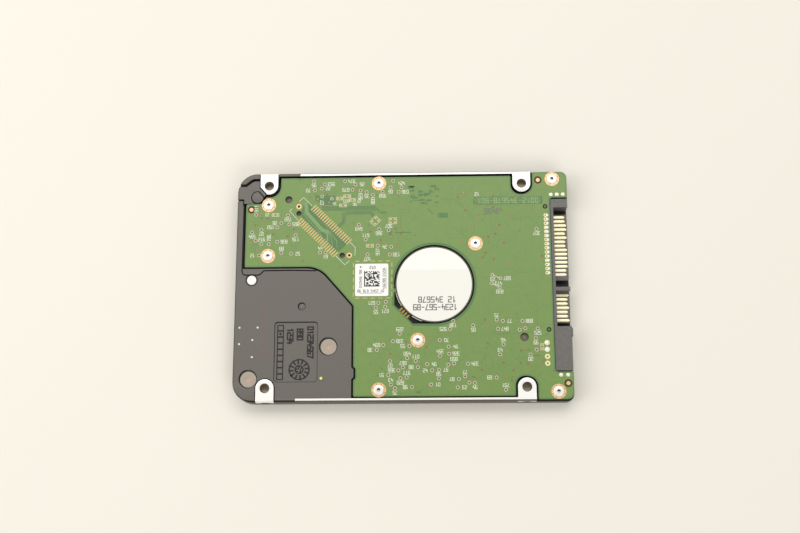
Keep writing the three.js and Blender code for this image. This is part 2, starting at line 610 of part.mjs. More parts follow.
function part(name, piece, material) {
  const mesh = new THREE.Mesh(piece.isBufferGeometry ? piece : toGeometry(piece), material());
  mesh.name = name;
  drive.add(mesh);
}

part('base_casting', baseCasting(), BLACK_CASTING);
part('top_cover', topCover(), STEEL);
part('cover_gasket', coverGasket(), RUBBER);
part('cover_label', coverLabel(), PAPER);
COVER_SCREWS.forEach((p, i) => part(`cover_screw_${i + 1}`, coverScrew(p, 3.4), STEEL));
part('pivot_screw', coverScrew(PIVOT, 2.9), STEEL);

part('circuit_board', circuitBoard(), SOLDER_MASK);
BOARD_SCREWS.forEach((p, i) => part(`board_screw_${i + 1}`, torxScrew(p, 4.6, 6.95, 1.55), STEEL));
part('sata_housing', sataHousing(), BLACK_PLASTIC);
part('power_contacts', contactRow(POWER_PINS, BOARD.z1 - 0.1), GOLD);
part('signal_contacts', contactRow(SIGNAL_PINS, BOARD.z0 - TINY), GOLD);
part('motor_label', disc(SPINDLE, MOTOR_LABEL_R, 6.22, 6.3, ROUND), PAPER);
part('board_sticker', plate(outline(box2d(-14.2, -3.55, -4.25, 6.35, 0.5)), BOARD.z1 + TINY, 6.63, 4), PAPER);
['controller_chip', 'motor_driver_chip', 'memory_chip'].forEach((name, i) => {
  part(name, chip(CHIPS[i]), BLACK_PLASTIC);
});
part('insulator_sheet', insulatorSheet(), RUBBER);
part('head_connector', headConnector(), BLACK_PLASTIC);
SEALS.forEach((p, i) => part(`service_seal_${i + 1}`, disc(p, SEAL_R, 6.42, 6.54, SMOOTH), GREY_SEAL));
part('service_plug', disc(PLUG, 1.5, 6.37, 6.7, SMOOTH), CREAM_PLASTIC);
part('motor_flex', motorFlex(), FILM);

part('stator_core', statorCore(), NICKEL);
part('stator_winding', statorWinding(), COPPER);
part('bearing_sleeve', bearingSleeve(), NICKEL);
part('spindle_hub', spindleHub(), ALUMINIUM);
part('spindle_shaft', spindleShaft(), STEEL);
part('rotor_magnet', rotorMagnet(), NICKEL);
part('platter', platter(), MIRROR);
part('disk_clamp', diskClamp(), STEEL);
part('clamp_screw', clampScrew(), STEEL);

part('pivot_shaft', pivotShaft(), STEEL);
part('pivot_sleeve', pivotSleeve(), STEEL);
part('actuator_arm', actuatorArm(), ALUMINIUM);
part('voice_coil', voiceCoil(), COPPER);
['lower', 'upper'].forEach((side, i) => {
  part(`${side}_suspension`, suspension(BEAM_Z[i]), STEEL);
  part(`${side}_slider`, slider(SLIDER_Z[i]), BLACK_PLASTIC);
});
part('head_flex', headFlex(), FILM);
part('lower_yoke', yoke(0.95, 1.6), NICKEL);
part('upper_yoke', yoke(4.8, 5.7), NICKEL);
part('coil_magnet', magnet(), NICKEL);
part('load_ramp', loadRamp(), CREAM_PLASTIC);
part('actuator_latch', actuatorLatch(), BLACK_PLASTIC);
part('air_filter', airFilter(), FILTER);
part('breather_filter', breatherFilter(), FILTER);

export default drive;
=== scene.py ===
"""A 2.5-inch SATA disk drive lying board side up on a pale table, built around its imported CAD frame."""

import json
import math
import random

import bpy
from mathutils import Euler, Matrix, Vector
from mathutils.geometry import tessellate_polygon

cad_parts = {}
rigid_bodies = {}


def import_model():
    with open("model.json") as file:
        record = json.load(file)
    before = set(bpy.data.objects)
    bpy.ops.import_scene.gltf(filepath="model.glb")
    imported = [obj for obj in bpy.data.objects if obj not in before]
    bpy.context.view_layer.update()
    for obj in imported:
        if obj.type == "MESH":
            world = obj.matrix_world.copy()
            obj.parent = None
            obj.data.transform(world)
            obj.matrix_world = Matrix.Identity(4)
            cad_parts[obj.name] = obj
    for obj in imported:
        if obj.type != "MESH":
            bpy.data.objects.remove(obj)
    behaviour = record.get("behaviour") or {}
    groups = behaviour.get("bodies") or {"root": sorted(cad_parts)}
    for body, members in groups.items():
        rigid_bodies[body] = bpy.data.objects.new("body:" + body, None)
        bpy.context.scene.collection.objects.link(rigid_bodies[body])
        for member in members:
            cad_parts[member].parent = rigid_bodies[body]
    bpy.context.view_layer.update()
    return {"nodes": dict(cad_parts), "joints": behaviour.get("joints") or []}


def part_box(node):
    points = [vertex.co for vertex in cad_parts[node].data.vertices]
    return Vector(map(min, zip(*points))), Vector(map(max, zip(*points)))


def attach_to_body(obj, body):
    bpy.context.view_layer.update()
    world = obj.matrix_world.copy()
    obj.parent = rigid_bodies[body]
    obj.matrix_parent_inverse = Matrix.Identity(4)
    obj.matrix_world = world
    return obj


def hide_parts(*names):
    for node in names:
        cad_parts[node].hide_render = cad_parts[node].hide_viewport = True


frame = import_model()

MM = 0.001
TAU = 2 * math.pi


# ---- measures, in millimetres, from the frame ----
def span(node):
    low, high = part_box(node)
    return low / MM, high / MM


def joint_xy(name):
    joint = next(j for j in frame["joints"] if j["name"] == name)
    return joint["pos_m"][0] / MM, joint["pos_m"][1] / MM


CASTING_LOW, CASTING_HIGH = span("base_casting")
LEFT, RIGHT, HALF_W, TOP = CASTING_LOW.x, CASTING_HIGH.x, CASTING_HIGH.y, CASTING_HIGH.z
WALL_Z = CASTING_LOW.z
BOARD_LOW, BOARD_HIGH = span("circuit_board")
BOARD_TOP = BOARD_HIGH.z
BLACK_Z = TOP - 0.25
BAY_Z = BOARD_LOW.z - 1.0
SPINDLE = joint_xy("spindle_spin")
PIVOT = joint_xy("actuator_swing")
SHOULDER_Z = BLACK_Z - 0.6
MOUNT_X = (-40.5, 36.1)
MOUNT_Y = 30.86
TAB_R = 2.75
PITCH = 1.27
TONGUE_TOP = span("power_contacts")[0].z - 0.02
HOUSING_LOW, HOUSING_HIGH = span("sata_housing")


def middle(node):
    low, high = span(node)
    return (low.x + high.x) / 2, (low.y + high.y) / 2


BOARD_SCREWS = [middle(f"board_screw_{i}") for i in range(1, 9)]
COVER_SCREWS = [middle(f"cover_screw_{i}") for i in range(1, 7)]
SEALS = [middle("service_seal_1"), middle("service_seal_2")]
PLUG = middle("service_plug")


# ---- outlines ----
def rounded(corners, step=0.15):
    """Points round a list of (x, y, radius) corners, each corner a true arc."""
    points = []
    for i, corner in enumerate(corners):
        x, y, r = (*corner, 0.0)[:3]
        p = Vector((x, y))
        a = Vector(corners[i - 1][:2]) - p
        b = Vector(corners[(i + 1) % len(corners)][:2]) - p
        if r == 0:
            points.append(p)
            continue
        half = a.angle(b) / 2
        t = min(r / math.tan(half), a.length * 0.49, b.length * 0.49)
        radius = t * math.tan(half)
        centre = p + (a.normalized() + b.normalized()).normalized() * (radius / math.sin(half))
        start = p + a.normalized() * t - centre
        end = p + b.normalized() * t - centre
        turn = math.atan2(start.x * end.y - start.y * end.x, start.dot(end))
        steps = max(2, math.ceil(abs(turn) * radius / step))
        for k in range(steps + 1):
            c, s = math.cos(turn * k / steps), math.sin(turn * k / steps)
            points.append(centre + Vector((start.x * c - start.y * s, start.x * s + start.y * c)))
    return points


def circle(x, y, r, steps=0):
    steps = steps or max(12, min(128, int(r * 36)))
    turns = [TAU * k / steps for k in range(steps)]
    return [Vector((x + r * math.cos(t), y + r * math.sin(t))) for t in turns]


def rect(x0, y0, x1, y1, r=0.0):
    return rounded([(x0, y0, r), (x1, y0, r), (x1, y1, r), (x0, y1, r)])


def offset(points, d):
    """Points moved d along the outward side of an anticlockwise outline."""
    moved = []
    for i, p in enumerate(points):
        a = (p - points[i - 1]).normalized()
        b = (points[(i + 1) % len(points)] - p).normalized()
        moved.append(p + Vector((a.y + b.y, -a.x - b.x)) * (d / max(0.3, 1 + a.dot(b))))
    return moved


def grow(corners, d):
    points = [Vector(c[:2]) for c in corners]
    return [(p.x, p.y, (*c, 0.0)[2]) for p, c in zip(offset(points, d), corners)]


def polar(centre, r, degrees):
    return (centre[0] + r * math.cos(math.radians(degrees)), centre[1] + r * math.sin(math.radians(degrees)))


def arc(centre, r, deg0, deg1, steps=24):
    return [polar(centre, r, deg0 + (deg1 - deg0) * k / steps) for k in range(steps + 1)]


def strip(path, width):
    """Outline of a line of the given width along a path of points."""
    path = [Vector(p[:2]) for p in path]
    left, right = [], []
    for i, p in enumerate(path):
        before = (p - path[i - 1]).normalized() if i else (path[1] - p).normalized()
        after = (path[i + 1] - p).normalized() if i + 1 < len(path) else before
        n = Vector((before.y + after.y, -before.x - after.x)) / max(0.3, 1 + before.dot(after))
        end = before * (width / 2 if i + 1 == len(path) else 0) - after * (width / 2 if i == 0 else 0)
        right.append(p + n * (width / 2) + end)
        left.append(p - n * (width / 2) + end)
    return right + left[::-1]


# ---- mesh builders ----
def finish_mesh(name, verts, faces, sharp=35):
    mesh = bpy.data.meshes.new(name)
    mesh.from_pydata([(x * MM, y * MM, z * MM) for x, y, z in verts], [], faces)
    mesh.validate()
    mesh.shade_smooth()
    mesh.set_sharp_from_angle(angle=math.radians(sharp))
    obj = bpy.data.objects.new(name, mesh)
    bpy.context.scene.collection.objects.link(obj)
    return obj


def signed_area(points):
    return sum(points[i - 1].x * p.y - p.x * points[i - 1].y for i, p in enumerate(points)) / 2


def plate_data(loops, z0, z1, bevel, steps=2):
    """Closed plate from an outer outline and its holes, with rounded top and bottom edges."""
    loops = [p if (signed_area(p) > 0) == (i == 0) else p[::-1] for i, p in enumerate(loops)]
    if bevel:
        turns = [math.pi / 2 * k / steps for k in range(steps + 1)]
        rings = [(bevel * (1 - math.sin(t)), z0 + bevel * (1 - math.cos(t))) for t in turns]
        rings += [(bevel * (1 - math.cos(t)), z1 - bevel * (1 - math.sin(t))) for t in turns]
    else:
        rings = [(0.0, z0), (0.0, z1)]
    verts, faces, first = [], [], []
    for inset, z in rings:
        first.append(len(verts))
        verts += [(p.x, p.y, z) for loop in loops for p in (offset(loop, -inset) if inset else loop)]
    start = 0
    for loop in loops:
        n = len(loop)
        for low, high in zip(first, first[1:]):
            a, b = low + start, high + start
            faces += [(a + i, a + (i + 1) % n, b + (i + 1) % n, b + i) for i in range(n)]
        start += n
    flat = [Vector((*p, 0)) for loop in loops for p in loop]
    for tri in tessellate_polygon([[Vector((*p, 0)) for p in loop] for loop in loops]):
        a, b, c = (flat[i] for i in tri)
        up = tri if (b - a).cross(c - a).z > 0 else tri[::-1]
        faces.append(tuple(first[-1] + i for i in up))
        faces.append(tuple(first[0] + i for i in reversed(up)))
    return verts, faces


def plate(name, loops, z0, z1, bevel=0.06, steps=2):
    return finish_mesh(name, *plate_data(loops, z0, z1, bevel, steps), sharp=20)


def merged(name, parts, sharp=35):
    """One mesh from many (verts, faces) pieces."""
    verts, faces = [], []
    for v, f in parts:
        base = len(verts)
        verts += v
        faces += [tuple(base + i for i in face) for face in f]
    return finish_mesh(name, verts, faces, sharp)


STAGGER = 0.0006                  # keeps crossing strokes of one print from sharing a surface


def plates(name, outlines, z0, z1, bevel=0.0, steps=1):
    """One mesh of many separate plates; each entry is an outline or a list of outline and holes."""
    parts = [plate_data(o if isinstance(o[0], list) else [o], z0, z1 + STAGGER * (i % 9), bevel, steps)
             for i, o in enumerate(outlines)]
    return merged(name, parts)


def turned_data(centre, profile, steps=64):
    """Solid of revolution about a vertical axis; the profile closes on itself or on the axis."""
    verts, faces, rings = [], [], []
    for r, z in profile:
        if r < 1e-6:
            rings.append([len(verts)] * steps)
            verts.append((centre[0], centre[1], z))
        else:
            rings.append([len(verts) + k for k in range(steps)])
            verts += [(*polar(centre, r, 360 * k / steps), z) for k in range(steps)]
    pairs = list(zip(rings, rings[1:]))
    if profile[0][0] > 1e-6 or profile[-1][0] > 1e-6:
        pairs.append((rings[-1], rings[0]))
    for a, b in pairs:
        for k in range(steps):
            n = (k + 1) % steps
            face = list(dict.fromkeys((a[k], a[n], b[n], b[k])))
            if len(face) > 2:
                faces.append(tuple(face))
    return verts, faces


def disc_data(centre, r, z0, z1, steps=40):
    return plate_data([circle(*centre, r, steps)], z0, z1, min(0.04, (z1 - z0) / 3))


def turned(name, centre, profile, steps=64, sharp=35):
    return finish_mesh(name, *turned_data(centre, profile, steps), sharp)


def bake(obj):
    mesh = bpy.data.meshes.new_from_object(obj.evaluated_get(bpy.context.evaluated_depsgraph_get()))
    obj.modifiers.clear()
    obj.data = mesh


def flatten_shading(obj):
    """Smooth bevels that still leave the large faces beside them looking flat."""
    obj.data.shade_smooth()
    obj.data.set_sharp_from_angle(angle=math.radians(38))
    modifier = obj.modifiers.new("shading", "WEIGHTED_NORMAL")
    modifier.keep_sharp = True
    modifier.weight = 100
    bake(obj)
    return obj


def combine(obj, *steps):
    """Joins and cuts whole groups of solids: steps are ("UNION" or "DIFFERENCE", [objects])."""
    groups = []
    for operation, tools in steps:
        group = bpy.data.collections.new("tools")
        for tool in tools:
            group.objects.link(tool)
        modifier = obj.modifiers.new(operation, "BOOLEAN")
        modifier.operation = operation
        modifier.operand_type = "COLLECTION"
        modifier.collection = group
        modifier.solver = "EXACT"
        groups.append(group)
    bake(obj)
    for group in groups:
        for tool in list(group.objects):
            bpy.data.objects.remove(tool)
        bpy.data.collections.remove(group)
    return obj


def apply_bevel(obj, width, segments=2, angle=32):
    modifier = obj.modifiers.new("edges", "BEVEL")
    modifier.width = width * MM
    modifier.segments = segments
    modifier.limit_method = "ANGLE"
    modifier.angle_limit = math.radians(angle)
    modifier.use_clamp_overlap = True
    modifier.harden_normals = False
    bake(obj)
    return flatten_shading(obj)


def place(obj, finish, slot, *replaced, body="chassis"):
    obj.data.materials.clear()
    obj.data.materials.append(finish)
    return attach(obj, slot, *replaced, body=body)


def attach(obj, slot, *replaced, body="chassis"):
    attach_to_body(obj, body)
    if replaced:
        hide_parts(*replaced)
    return obj


# ---- materials ----
def material(name, color, roughness, metallic=0.0, vary=0.06, grain=1200.0, bump=0.15, depth=0.004,
             rough_vary=0.06, stretch=(1, 1, 1), coat=0.0, coat_rough=0.15):
    """Principled surface with noise in its colour, roughness and relief."""
    mat = bpy.data.materials.new(name)
    mat.use_nodes = True
    nodes, links = mat.node_tree.nodes, mat.node_tree.links
    shader = nodes["Principled BSDF"]
    shader.inputs["Metallic"].default_value = metallic
    shader.inputs["Coat Weight"].default_value = coat
    shader.inputs["Coat Roughness"].default_value = coat_rough
    coords = nodes.new("ShaderNodeTexCoord")
    mapping = nodes.new("ShaderNodeMapping")
    mapping.inputs["Scale"].default_value = stretch
    links.new(coords.outputs["Object"], mapping.inputs["Vector"])
    noise = nodes.new("ShaderNodeTexNoise")
    noise.inputs["Scale"].default_value = grain
    noise.inputs["Detail"].default_value = 5.0
    links.new(mapping.outputs["Vector"], noise.inputs["Vector"])
    mix = nodes.new("ShaderNodeMix")
    mix.data_type = "RGBA"
    mix.inputs["A"].default_value = (*[c * (1 - vary) for c in color], 1)
    mix.inputs["B"].default_value = (*[min(1.0, c * (1 + vary)) for c in color], 1)
    links.new(noise.outputs["Fac"], mix.inputs["Factor"])
    links.new(mix.outputs["Result"], shader.inputs["Base Color"])
    rough = nodes.new("ShaderNodeMapRange")
    rough.inputs["To Min"].default_value = max(0.02, roughness - rough_vary)
    rough.inputs["To Max"].default_value = min(1.0, roughness + rough_vary)
    links.new(noise.outputs["Fac"], rough.inputs["Value"])
    links.new(rough.outputs["Result"], shader.inputs["Roughness"])
    relief = nodes.new("ShaderNodeBump")
    relief.inputs["Strength"].default_value = bump
    relief.inputs["Distance"].default_value = depth * MM
    links.new(noise.outputs["Fac"], relief.inputs["Height"])
    links.new(relief.outputs["Normal"], shader.inputs["Normal"])
    return mat


def ringed(name, color, roughness, centre, scale):
    """Metal with fine turned rings about a vertical axis."""
    mat = material(name, color, roughness, metallic=1.0, vary=0.03, grain=300)
    nodes, links = mat.node_tree.nodes, mat.node_tree.links
    coords = next(n for n in nodes if n.type == "TEX_COORD")
    shift = nodes.new("ShaderNodeMapping")
    shift.inputs["Location"].default_value = (-centre[0] * MM, -centre[1] * MM, 0)
    wave = nodes.new("ShaderNodeTexWave")
    wave.wave_type = "RINGS"
    wave.rings_direction = "Z"
    wave.inputs["Scale"].default_value = scale
    wave.inputs["Distortion"].default_value = 0.2
    links.new(coords.outputs["Object"], shift.inputs["Vector"])
    links.new(shift.outputs["Vector"], wave.inputs["Vector"])
    relief = next(n for n in nodes if n.type == "BUMP")
    links.new(wave.outputs["Fac"], relief.inputs["Height"])
    return mat


BLACK_COAT = material("black_coat", (0.135, 0.124, 0.111), 0.42, vary=0.10, grain=2600, bump=0.35,
                      depth=0.012)
POST_GREY = material("post_coat", (0.24, 0.21, 0.17), 0.5, vary=0.25, grain=3000)
# near-black painted shade: hollows of the casting, shade lines and crescents, dark centres of plated holes,
# and the panel marks
PAINTED_SHADE_BLACK = material("painted_shade_black", (0.012, 0.011, 0.009), 0.6, vary=0.2, grain=1500)
MACHINED = material("machined_aluminium", (0.95, 0.95, 0.92), 0.38, metallic=0.4, vary=0.03, grain=900,
                    bump=0.25, depth=0.004, stretch=(1, 9, 1))
# metal of the screw holes, darkened with painted shade
THREAD_METAL_SHADE = material("thread_metal_painted_shade", (0.30, 0.255, 0.185), 0.35, metallic=0.6, vary=0.15)
ZINC = material("zinc_screw", (0.95, 0.94, 0.90), 0.30, metallic=0.45, vary=0.05, grain=3000, bump=0.1)
# painted shade for the far walls and floors of the screw sockets
SOCKET_PAINTED_SHADE = material("socket_painted_shade", (0.035, 0.030, 0.022), 0.5, vary=0.2, grain=3000)
SOCKET_PALE = material("socket_metal", (0.74, 0.71, 0.64), 0.35, metallic=0.3, vary=0.1, grain=3000)
COVER_STEEL = material("cover_steel", (0.62, 0.62, 0.61), 0.32, metallic=1.0, vary=0.04, grain=500,
                       stretch=(1, 14, 1), bump=0.2)
MASK = material("solder_mask", (0.176, 0.287, 0.076), 0.38, vary=0.07, grain=420, bump=0.12, depth=0.01)
MASK_DARK = material("solder_mask_dark", (0.088, 0.200, 0.066), 0.40, vary=0.10, grain=700, bump=0.1)
MASK_TRACE = material("solder_mask_trace", (0.183, 0.294, 0.090), 0.38, vary=0.08, grain=700)
MASK_SHADE = material("solder_mask_shade", (0.148, 0.262, 0.072), 0.38, vary=0.08, grain=700)
MASK_RIM = material("solder_mask_rim", (0.120, 0.235, 0.085), 0.36, vary=0.10, grain=700)
MASK_FLEX = material("solder_mask_flex", (0.205, 0.335, 0.120), 0.42, vary=0.08, grain=700)
MASK_PRINT = material("solder_mask_print", (0.29, 0.41, 0.18), 0.42, vary=0.08, grain=700)
LAMINATE = material("laminate_edge", (0.045, 0.075, 0.030), 0.6, vary=0.15, grain=2500, bump=0.3)
SILK = material("silkscreen", (0.76, 0.81, 0.68), 0.6, vary=0.06, grain=4000)
COPPER_RING = material("bare_copper", (0.86, 0.54, 0.28), 0.36, metallic=0.5, vary=0.08, grain=1500)
TEST_RING = material("test_ring", (0.54, 0.56, 0.43), 0.5, vary=0.12, grain=4000)
VIA_RED = material("tented_via", (0.235, 0.085, 0.045), 0.5, vary=0.15, grain=3000)
VIA_SOFT = material("filled_via", (0.270, 0.130, 0.070), 0.5, vary=0.15, grain=3000)
VIA_GREEN = material("open_via", (0.10, 0.17, 0.055), 0.5, vary=0.15, grain=3000)
SOLDER = material("solder", (0.93, 0.92, 0.87), 0.25, metallic=0.5, vary=0.06, grain=2500, bump=0.2)
GOLD = material("contact_gold", (1.0, 0.93, 0.62), 0.30, metallic=0.4, vary=0.05, grain=1500, bump=0.1)
PAD_GOLD = material("pad_gold", (0.66, 0.46, 0.20), 0.38, metallic=0.3, vary=0.08, grain=2500)
# the strong colour speckle stands for glints on the rough moulding: painted highlight
CONNECTOR_BLACK = material("connector_plastic", (0.140, 0.134, 0.127), 0.42, vary=0.55, grain=2300, bump=0.8,
                           depth=0.03)
FIDUCIAL_BROWN = material("fiducial_window", (0.058, 0.036, 0.012), 0.6, vary=0.15)
TINNED = material("tinned_land", (0.86, 0.76, 0.42), 0.34, metallic=0.35, vary=0.08, grain=2500)
SPOT_RED = material("seal_spot", (0.62, 0.33, 0.24), 0.5, vary=0.08)
SPOT_GREEN = material("grease_spot", (0.125, 0.150, 0.065), 0.4, vary=0.12)
SPOT_BRIGHT = material("grease_spot_core", (0.78, 0.82, 0.40), 0.3, vary=0.05)
STAMP_RED = material("faded_red_stamp", (0.165, 0.122, 0.100), 0.5, vary=0.25, grain=3500)
MARK_PALE = material("pale_mark", (0.80, 0.78, 0.66), 0.45, vary=0.05)
FLEX_YELLOW = material("flex_yellow", (0.92, 0.58, 0.05), 0.35, vary=0.08)
# the black coat in painted shade, for the outer walls and slopes of the casting
WALL_COAT_SHADE = material("coated_wall_painted_shade", (0.085, 0.070, 0.056), 0.5, vary=0.12, grain=2600, bump=0.3, depth=0.01)
SLOT_BROWN = material("contact_slot", (0.13, 0.075, 0.045), 0.6, vary=0.2)
LABEL_WHITE = material("label_film", (0.895, 0.885, 0.830), 0.55, vary=0.008, grain=250, bump=0.0, coat=1.0,
                       coat_rough=0.01)
PAPER = material("label_paper", (0.93, 0.925, 0.90), 0.5, vary=0.02, grain=900, bump=0.1)
INK = material("printed_grey", (0.16, 0.16, 0.15), 0.55, vary=0.12, grain=4000)
INK_BLACK = material("printed_black", (0.02, 0.02, 0.018), 0.55, vary=0.2, grain=4000)
FLEX = material("polyimide", (0.42, 0.22, 0.05), 0.3, vary=0.1, coat=0.4)
FLEX_DARK = material("flex_cover_film", (0.06, 0.042, 0.022), 0.3, vary=0.15, coat=0.4)
SEAL_GREY = material("foil_seal", (0.40, 0.345, 0.285), 0.4, metallic=0.1, vary=0.06, grain=500, bump=0.2)
PLUG_WHITE = material("plug_plastic", (0.92, 0.92, 0.90), 0.4, vary=0.02, grain=800)
GASKET = material("gasket_rubber", (0.02, 0.02, 0.02), 0.8, vary=0.2, grain=2000, bump=0.4)


# ---- the board's outline, with U-shaped notches that clear the mounting tabs ----
def tab_notch(x, side, edge_left, edge_right):
    r = TAB_R + 0.5
    end = side * (MOUNT_Y - r)
    left = [(x - r, edge_left, 0.5), (x - r, end, r)]
    right = [(x + r, end, r), (x + r, edge_right, 0.4)]
    return left + right if side < 0 else right[::-1] + left[::-1]


BOARD_EDGE = [
    (-14.6, -33.45, 0.5), *tab_notch(MOUNT_X[1], -1, -33.45, -34.45),
    (49.75, -34.45, 1.9), (49.75, -26.45, 0.3), (44.45, -26.45, 0.9),
    (44.45, 26.35, 0.9), (49.75, 26.35, 0.3), (49.75, 34.45, 1.9),
    *tab_notch(MOUNT_X[1], 1, 33.4, 34.45),
    (-36.95, 33.4, 0.3), *arc((MOUNT_X[0], MOUNT_Y), 3.5, 0, -104), (-42.45, 25.4, 0.9),
    (-47.45, 25.3, 0.6), (-47.45, 5.6, 0.4), (-25.0, 5.6, 8.0), (-14.6, -6.4, 1.4),
    (-14.6, -24.6, 0.3), (-13.95, -25.2, 0.4), (-13.95, -28.0, 0.4), (-14.6, -28.6, 0.3),
]
PEG_HOLES = [(43.05, 23.6), (43.0, -14.0)]
BOARD_HOLES = [(-34.5, 26.6, 1.1), (-31.35, 22.2, 0.8), (-18.1, 9.0, 0.85), (35.75, -16.2, 1.25),
               (43.05, 23.6, 0.7), (43.0, -14.0, 0.7)]
OPENING_R = 12.0


def motor_opening(d=0.0):
    """Round opening over the motor with a slanted bay at its lower left."""
    r = OPENING_R + d
    bay = [(-2.5 - d, -0.4), (-2.5 - d, -1.2), (-1.9 - d, -1.4), (-1.9 - d, -2.3), (-2.5 - d, -2.5),
           (-2.5 - d, -6.3), (2.95, -11.95 - d), (SPINDLE[0], -r)]
    round_part = [Vector(polar(SPINDLE, r, -90 + 270 * k / 100)) for k in range(101)]
    return round_part[:-1] + [Vector(p) for p in [(SPINDLE[0] - r, 0.0)] + bay[:-1]]


# ---- base casting ----
def mount_tab(x, side, d=0.0, edge=HALF_W):
    """U-shaped tab round a screw hole, grown by d; the one at the upper left has a bevelled side."""
    r = TAB_R - 0.08 + d
    centre = (x, side * MOUNT_Y)
    if x < 0 and side > 0:
        bevel_top = (x - r, MOUNT_Y - 0.3 - d * 0.8)
        bevel_end = polar(centre, r + d * 0.4, -103)
        outline = [(x - r, edge), bevel_top, bevel_end, *arc(centre, r, -101, 0), (x + r, edge)]
        return [Vector(p) for p in outline]
    ends = [(x + r, side * edge), (x - r, side * edge)]
    return [Vector(p) for p in arc(centre, r, -180 * side, 0, 40) + ends]


LOCATOR = (-44.03, 27.37)
LOCATOR_R = 1.72
LOCATOR_FLAT = 1.32
SEAL_POCKET_R = 2.74
PLUG_POCKET_R = 1.82
BORE_R = 1.45
BORE_FLOOR = 4.2
PANEL_FLOOR = 6.5
ABOVE = TOP + 1                          # cutting tools end here, clear of the casting
BOTH_SIDES = (-1, 1)
MOUNTS = [(x, s * MOUNT_Y) for x in MOUNT_X for s in BOTH_SIDES]
# the pockets' floors and walls carry painted shade, so this offset shows it as a crescent on one side
SHADOW_SIDE = Vector((-0.12, 0.14))      # recesses are set slightly off their discs, towards the corner


def locator_outline(d=0.0):
    """Disc with one flat facing the mounting tab, grown by d."""
    facing = Vector((0.75, 0.66)).normalized()
    points = []
    for p in circle(*LOCATOR, LOCATOR_R + d, 64):
        over = (p - Vector(LOCATOR)).dot(facing) - LOCATOR_FLAT - d
        points.append(p - facing * max(0.0, over))
    return points


def solid_disc(name, centre, r, z0, z1, steps=0):
    return plate(name, [circle(*centre, r, steps)], z0, z1, 0)


def rail(side):
    x0 = -31.0 if side > 0 else -31.5
    y0, y1 = sorted((side * (HALF_W - 1.0), side * HALF_W))
    return rect(x0, y0, MOUNT_X[1], y1)


def thread_ridges(centre, r, z0, z1, pitch=0.5):
    """Hollow liner with V-shaped ridges, standing in a screw hole."""
    count = int((z1 - z0) / pitch)
    profile = [(r + 0.02, z0), (r + 0.02, z1)]
    for k in range(count):
        top = z1 - k * pitch
        profile += [(r - 0.02, top), (r - 0.18, top - pitch / 2)]
    profile.append((r - 0.02, z0))
    return turned_data(centre, profile, 40)


def edge_wedge(side):
    """Prism that bevels a long top edge of the casting."""
    section = [(HALF_W + 1, TOP - 0.9), (HALF_W, TOP - 0.9), (HALF_W - 0.42, TOP), (HALF_W - 0.42, TOP + 1),
               (HALF_W + 1, TOP + 1)]
    verts = [(x, side * y, z) for x in (-52, 52) for y, z in section]
    n = len(section)
    faces = [(i, (i + 1) % n, (i + 1) % n + n, i + n) for i in range(n)]
    faces += [tuple(range(n))[::-1], tuple(range(n, 2 * n))]
    if side > 0:
        faces = [f[::-1] for f in faces]
    return finish_mesh("wedge", verts, faces)


def side_hole(x, side, r, depth):
    hole = solid_disc("hole", (0, 0), r, -depth, 1.0, 40)
    hole.data.transform(Euler((-side * math.pi / 2, 0, 0)).to_matrix().to_4x4())
    hole.location = (x * MM, side * HALF_W * MM, (TOP - 3.0) * MM)
    return hole


def panel_marks():
    """Raised ladder with a dot, and a numbered date wheel, in the moulded panel; they are coloured
    near-black as painted shade of their relief.
    """
    marks = []
    cells, y0, y1, x0, x1 = 9, -28.4, -12.0, -37.2, -35.2
    marks.append([rect(x0, y0, x1, y1), rect(x0 + 0.3, y0 + 0.3, x1 - 0.3, y1 - 0.3)])
    for k in range(1, cells):
        y = y0 + (y1 - y0) * k / cells
        marks.append([rect(x0 + 0.3, y - 0.23, x1 - 0.3, y + 0.23)])
    marks.append([circle((x0 + x1) / 2, y1 - (y1 - y0) * 1.5 / cells, 0.38)])
    wheel = (-30.5, -25.35)
    for r in (3.1, 1.35):
        marks.append([circle(*wheel, r, 48), circle(*wheel, r - 0.36, 48)])
    for k in range(12):
        inner = polar(wheel, 1.9, 30 * k + 8)
        outer = polar(wheel, 2.95, 30 * k + 8)
        marks.append([strip([inner, outer], 0.46)])
    marks += lettering("12", wheel, 1.4, 160, 0.2)
    for text, x, y in (("01234567", -27.3, -17.3), ("890", -30.4, -14.9), ("1234", -33.3, -15.4)):
        marks += lettering(text, (x, y), 1.6, -90, 0.25, 1.0)
    return marks


CORNER_GROOVE = [
    (-50.4, 31.15), (-47.6, 31.15), (-46.85, 31.75), (-45.9, 32.5), (-45.05, 32.85), (-43.0, 32.85),
]
SIDE_GROOVE = [
    (-50.4, 26.6), (-48.4, 26.58), (-48.1, 26.2), (-48.15, 4.3), (-47.9, 3.5), (-47.2, 3.15),
    (-43.3, 3.15), (-42.6, 3.4), (-41.6, 4.45), (-33.0, 4.5), (-26.0, 4.3),
]
SIDE_GROOVE_END = [(-50.4, 26.54), (-48.4, 26.52), (-48.12, 26.2), (-48.14, 25.0)]
DISK_ROOM_TOP = 4.05
UNDER_ROOM = [
    (-48.3, -26.0, 1.5), (-35.2, -26.0, 0.8), (-34.4, -30.4, 1.2), (-21.9, -30.4, 0.8),
    (-21.5, -28.2, 0.8), (-14.5, -28.2, 0.8), (-14.1, -33.0, 0.8), (5.0, -33.0, 0.2),
    (5.0, 33.0, 0.2), (-10.2, 33.0, 0.8), (-10.6, 28.2, 0.8), (-17.6, 28.2, 0.8),
    (-18.0, 31.8, 0.8), (-35.6, 31.8, 0.8), (-36.4, 26.2, 0.8), (-48.3, 26.2, 1.5),
]
COIL_ROOM = [
    (-48.3, -25.6, 1.5), (-29.0, -25.6, 1.5), (-21.5, -13.0, 1.5), (-21.5, -1.0, 1.5),
    (-27.0, 4.6, 1.5), (-48.3, 4.6, 1.5),
]


